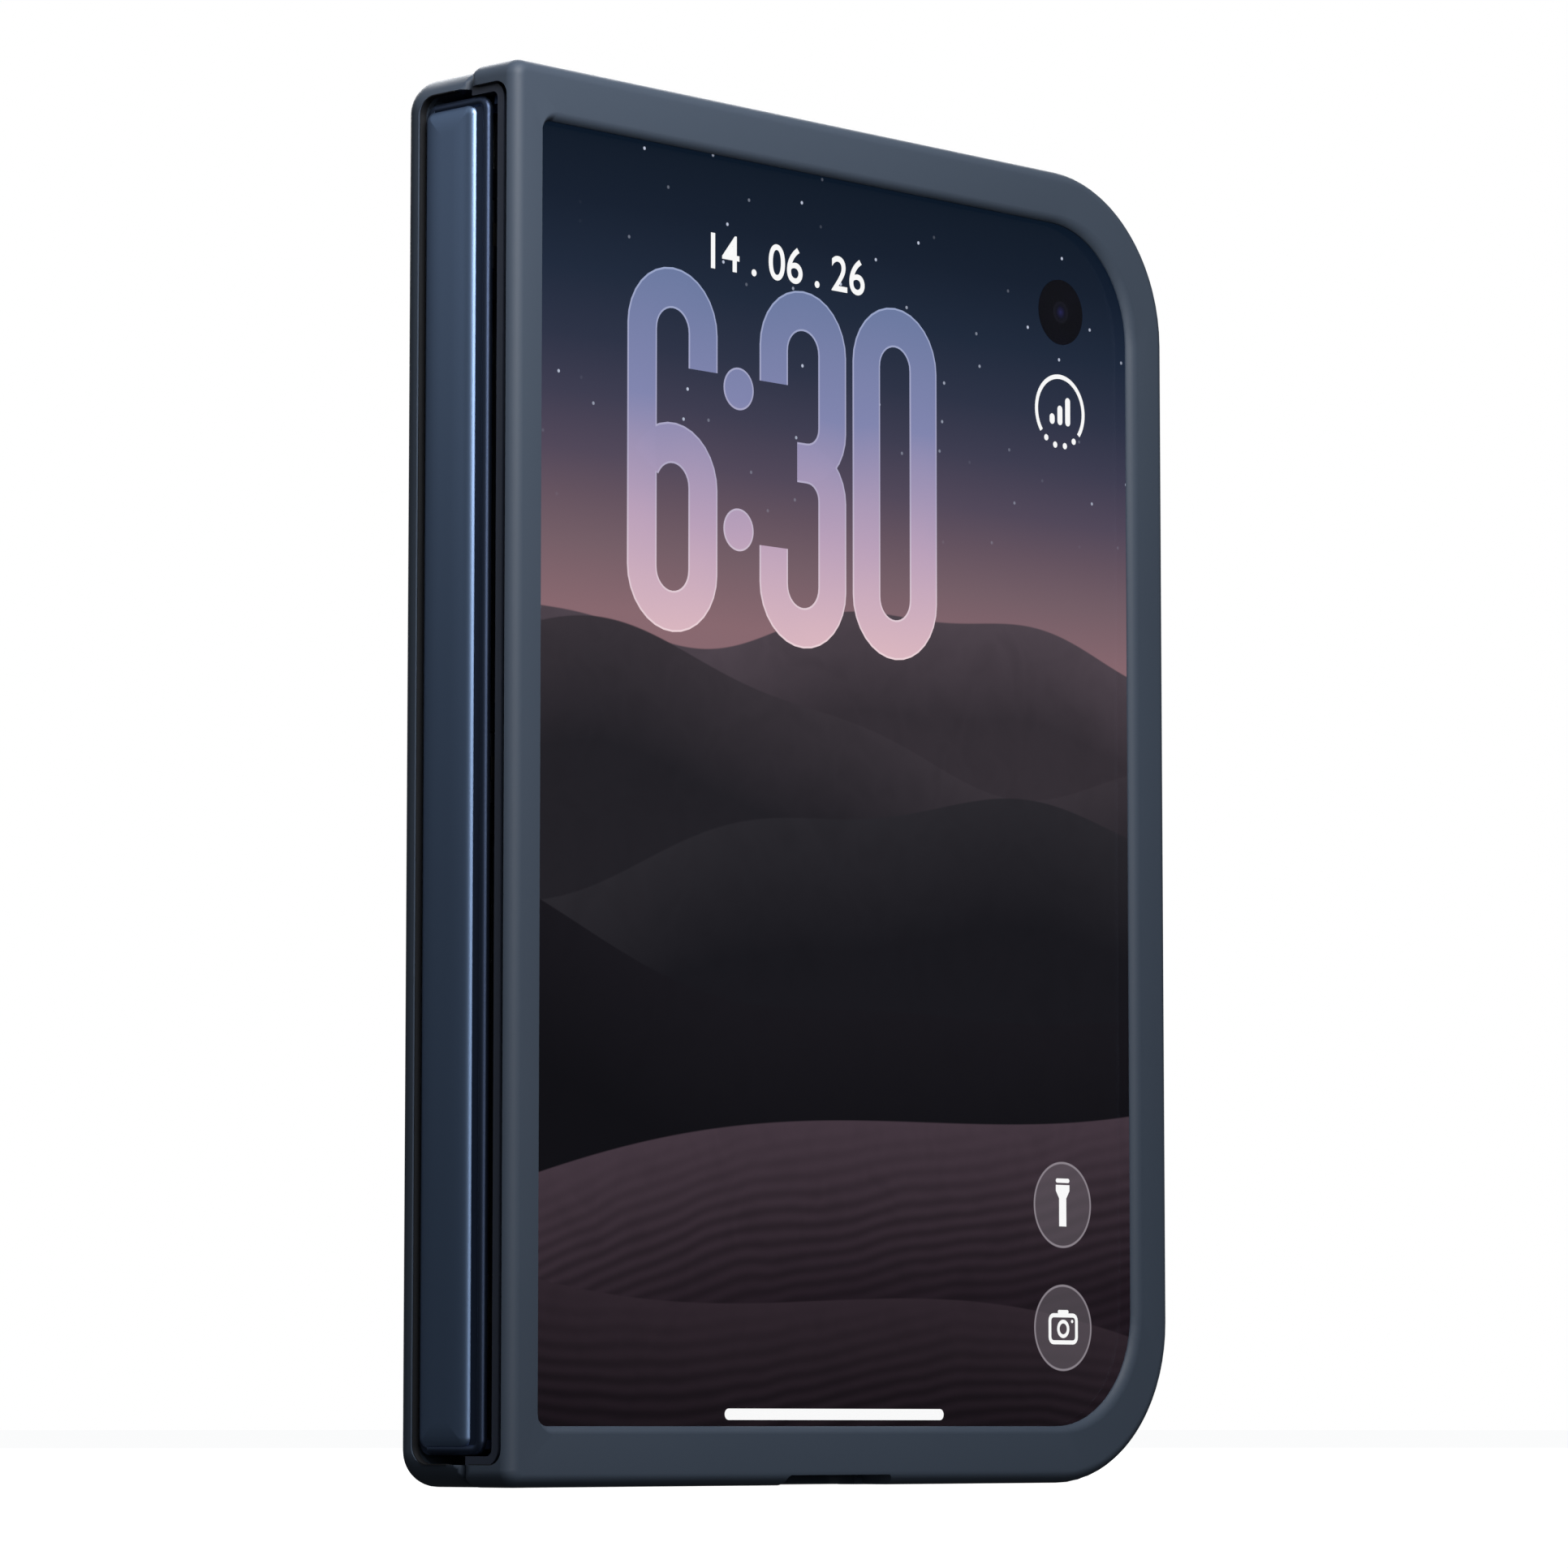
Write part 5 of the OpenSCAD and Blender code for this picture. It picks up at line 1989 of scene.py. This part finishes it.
@dataclass
class Screws:
    """Pan heads with a six-sided recess, set on their places with Geometry Nodes."""

    node: str
    body: str
    places: Tuple[Point, ...]
    seat_v: float
    top_v: float
    radius: float = 0.9
    recess: float = 0.42
    depth: float = 0.28
    rounding: float = 0.14
    shoulder: Point = (0.042, 0.04)
    sides: int = 24

    def outline(self, radius: float, v: float, corners: int = 0) -> List[Vector]:
        """One ring of the head about its own axis.

        Args:
            radius: its radius, or across its corners.
            v: its place along the axis.
            corners: number of corners, or 0 for a circle.

        Returns:
            The ring's points.
        """
        points = []
        for step in range(self.sides):
            turn = 2 * math.pi * step / self.sides
            reach = radius
            if corners:
                part = math.pi / corners
                reach *= math.cos(part) / math.cos((turn % (2 * part)) - part)
            u, z = reach * math.cos(turn), reach * math.sin(turn)
            points.append(Vector((u / 1000, PLAN.at(0, v, 0).y, z / 1000)))
        return points

    def head(self) -> bpy.types.Object:
        """One head at the middle of the plan.

        Returns:
            The head.
        """
        out = 1 if self.top_v > self.seat_v else -1
        form = Form()
        rings = [
            self.outline(self.radius, self.seat_v),
            self.outline(self.radius, self.top_v - out * self.rounding),
            self.outline(self.radius - self.shoulder[0], self.top_v - out * self.shoulder[1]),
            self.outline(self.radius - self.rounding, self.top_v),
            self.outline(self.recess, self.top_v, 6),
            self.outline(self.recess, self.top_v - out * self.depth, 6),
        ]
        form.loft(rings)
        return form.piece(self.node + "_head", FINISHES["shield_steel"], 35)

    def build(self) -> None:
        """Sets a head on each place."""
        head = self.head()
        bench = GeometryBench(self.node + "_places")
        scale = bench.size_input("Scale", 1.0)
        shape = bench.node("GeometryNodeObjectInfo", None, {"Object": head})
        placed = bench.node(
            "GeometryNodeInstanceOnPoints",
            None,
            {
                "Points": bench.entry.outputs[0],
                "Instance": bench.pick(shape.outputs, "Geometry"),
                "Scale": scale,
            },
        )
        bench.end(placed.outputs[0], FINISHES["shield_steel"])
        spots = bpy.data.meshes.new(self.node + "_spots")
        points = [PLAN.at(u, 0.0, z) for u, z in self.places]
        spots.from_pydata([(point.x, 0.0, point.z) for point in points], [], [])
        finish = FINISHES["shield_steel"]
        piece = bench.run(self.node + "_recessed", spots, {"Scale": 1.0}, finish)
        bpy.data.objects.remove(head)
        Shop.hand_over(piece, self.body, "shield_steel", [self.node])


@dataclass
class Phone:
    """Both halves of the phone: frames, glasses, cameras and what is inside."""

    refined: Tuple[Tuple[str, float], ...] = (
        ("rear_frame", 35),
        ("front_frame", 35),
        ("back_glass", 35),
        ("camera_plateau", 30),
        ("lens_rings", 30),
        ("rear_display", 30),
        ("front_display", 30),
        ("power_key", 30),
        ("power_pad", 30),
        ("volume_up_key", 30),
        ("volume_up_pad", 30),
        ("volume_down_key", 30),
        ("volume_down_pad", 30),
    )
    glass_u: Point = (1.5, 83.55)
    glass_z: Point = (2.05, 120.95)
    glass_v: Point = (1.05, 1.635)
    glass_edge: float = 0.22
    corner_r: float = 12.95
    cover_lens: Point = (72.5, 109.9)
    cover_lens_r: float = 3.15
    inner_lens: Point = (75.55, 112.95)
    inner_lens_r: float = 2.0
    rear_screw_u: Point = (13.6, 31.66)
    rear_screw_z: Point = (88.5, 116.65)
    rear_screw_v: Point = (8.75, 9.25)
    front_screws: Tuple[Point, ...] = ((28.1, 18.35), (45.6, 18.35))
    front_screw_v: Point = (4.75, 4.25)

    def cover_glass(self) -> None:
        """Builds the cover glass with its polished front edge."""
        form = Form()
        front, back = self.glass_v
        rings = []
        for step in range(5):
            turn = math.radians(90 * step / 4)
            drop = self.glass_edge * (1 - math.sin(turn))
            inset = self.glass_edge * (1 - math.cos(turn))
            outline = rounded(self.glass_u, self.glass_z, 0.6, self.corner_r, inset, 14)
            rings.append([PLAN.at(u, front + drop, z) for u, z in outline])
        last = rounded(self.glass_u, self.glass_z, 0.6, self.corner_r, 0.0, 14)
        form.loft([[PLAN.at(u, back, z) for u, z in last]] + rings)
        piece = form.piece("cover_glass_polished", FINISHES["cover_glass"])
        Shop.hand_over(piece, "front_half", "cover_glass", ["cover_glass"])

    def lens_finishes(self) -> Dict[str, Finish]:
        """Finishes of the lenses, each about its own centre.

        Returns:
            The finish of each lens node.
        """
        small = (
            (0.0, tint(40, 40, 92)),
            (0.1, tint(26, 26, 60)),
            (0.2, tint(14, 14, 26)),
            (0.3, tint(22, 22, 30)),
            (0.36, tint(6, 6, 9)),
            (1.0, tint(3, 3, 5)),
        )
        return {
            "cover_camera": LensGlass("cover_lens", (self.cover_lens,), self.cover_lens_r, small),
            "inner_camera": LensGlass("inner_lens", (self.inner_lens,), self.inner_lens_r, small),
        }

    def build(self) -> None:
        """Refines the visible nodes, dresses the lenses, winds the coil and sets the screws."""
        for node, angle in self.refined:
            Shop.refine(node, angle)
        self.cover_glass()
        for node, finish in self.lens_finishes().items():
            Shop.refine(node, 30, finish)
        Winding().build()
        corners = tuple((u, z) for u in self.rear_screw_u for z in self.rear_screw_z)
        Screws("rear_screws", "rear_half", corners, *self.rear_screw_v).build()
        Screws("front_screws", "front_half", self.front_screws, *self.front_screw_v).build()


Spot = Tuple[float, float, float]


@dataclass(frozen=True)
class Lamp:
    """One soft rectangular lamp, in metres and watts."""

    name: str
    at: Spot
    target: Spot
    size: Point
    power: float

    def hang(self) -> None:
        """Adds the lamp to the scene."""
        data = bpy.data.lights.new(self.name, "AREA")
        data.shape = "RECTANGLE"
        data.size, data.size_y = self.size
        data.energy = self.power
        lamp = bpy.data.objects.new(self.name, data)
        bpy.context.scene.collection.objects.link(lamp)
        lamp.location = self.at
        lamp.rotation_mode = "QUATERNION"
        way = Vector(self.target) - Vector(self.at)
        lamp.rotation_quaternion = way.to_track_quat("-Z", "Y")


@dataclass
class Stage:
    """Floor, light and camera, in metres and radians."""

    camera_at: Spot = (-0.412899, -0.399326, 0.005218)
    yaw: float = 0.77106
    pitch: float = 0.10091
    lens: float = 145.582
    floor_reach: float = 6.0
    floor_z: float = -0.00002
    dusk: Point = (0.45, 0.9)
    dim: float = 0.035
    overhead: float = 0.26
    tone: Colour = (0.86, 0.93, 1.0, 1.0)
    lamps: Tuple[Lamp, ...] = (
        Lamp("key", (-0.1, -0.15, 0.22), (0, 0, 0.1), (0.12, 0.12), 0.62),
        Lamp("rim", (-0.37, -0.73, 0.2), (0, 0, 0.07), (0.3, 0.4), 1.0),
        Lamp("side", (-0.2, 0.12, 0.2), (-0.04, 0, 0.09), (0.1, 0.16), 0.018),
        Lamp("back", (0.4, 0.5, 0.5), (0, 0, 0.07), (0.5, 0.5), 6.5),
    )

    def camera(self) -> None:
        """Puts the camera where the photograph was taken."""
        data = bpy.data.cameras.new("camera")
        data.sensor_width = 36.0
        data.lens = self.lens
        data.clip_start, data.clip_end = 0.01, 50
        camera = bpy.data.objects.new("camera", data)
        bpy.context.scene.collection.objects.link(camera)
        camera.location = self.camera_at
        look = Vector(
            (
                math.cos(self.pitch) * math.cos(self.yaw),
                math.cos(self.pitch) * math.sin(self.yaw),
                math.sin(self.pitch),
            )
        )
        camera.rotation_mode = "QUATERNION"
        camera.rotation_quaternion = look.to_track_quat("-Z", "Y")
        bpy.context.scene.camera = camera

    def floor(self) -> None:
        """Lays the pale floor."""
        form = Form()
        turns = ((-1, -1), (1, -1), (1, 1), (-1, 1))
        reach = self.floor_reach
        corners = [Vector((x * reach, y * reach, self.floor_z)) for x, y in turns]
        form.faces.append(form.ring(corners))
        floor = form.piece("floor", PaleGround("pale_ground"), closed=False)
        floor.visible_diffuse = floor.visible_glossy = False

    def sky(self) -> None:
        """Sets a plain white backdrop round a studio that is dim to the part itself."""
        world = bpy.data.worlds.new("surround")
        bpy.context.scene.world = world
        world.use_nodes = True
        bench = Bench(world.node_tree)
        world.node_tree.nodes.clear()
        seen = bench.node("ShaderNodeLightPath").outputs["Is Camera Ray"]
        around = bench.node("ShaderNodeTexCoord").outputs["Generated"]
        split = bench.node("ShaderNodeSeparateXYZ", None, {0: around})
        height = Value(bench, split.outputs[2])
        overhead = height.above(*self.dusk) * self.overhead + self.dim
        dim = bench.node("ShaderNodeBackground", None, {"Color": self.tone})
        bench.feed(dim.inputs["Strength"], overhead)
        bright = bench.node("ShaderNodeBackground", None, {"Color": (1.0, 1.0, 1.0, 1.0)})
        bright.inputs["Strength"].default_value = 1.0
        both = bench.node(
            "ShaderNodeMixShader", None, {0: seen, 1: dim.outputs[0], 2: bright.outputs[0]}
        )
        bench.node("ShaderNodeOutputWorld", None, {"Surface": both.outputs[0]})

    def build(self) -> None:
        """Builds the stage."""
        bpy.context.scene.view_settings.view_transform = "Standard"
        self.camera()
        self.floor()
        self.sky()
        for lamp in self.lamps:
            lamp.hang()


def dress_solids() -> None:
    """Gives every solid that is still shown the finish of its slot."""
    for node, solid in frame["nodes"].items():
        if solid.hide_render:
            continue
        finish = FINISHES[SLOTS[node]].material()
        if not solid.material_slots:
            solid.data.materials.append(finish)
        for slot in solid.material_slots:
            slot.material = finish
        log.info("%s keeps its solid in %s", node, SLOTS[node])


def main() -> None:
    """Builds the sub-assemblies in order and hands the part over."""
    logging.basicConfig(level=logging.INFO, format="%(name)s: %(message)s")
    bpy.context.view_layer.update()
    Stage().build()
    SoftCase().build()
    Spine().build()
    Phone().build()
    CoverDisplay().build()
    dress_solids()
    log.info("%d pieces made", Shop.made)


if __name__ == "__main__":
    main()
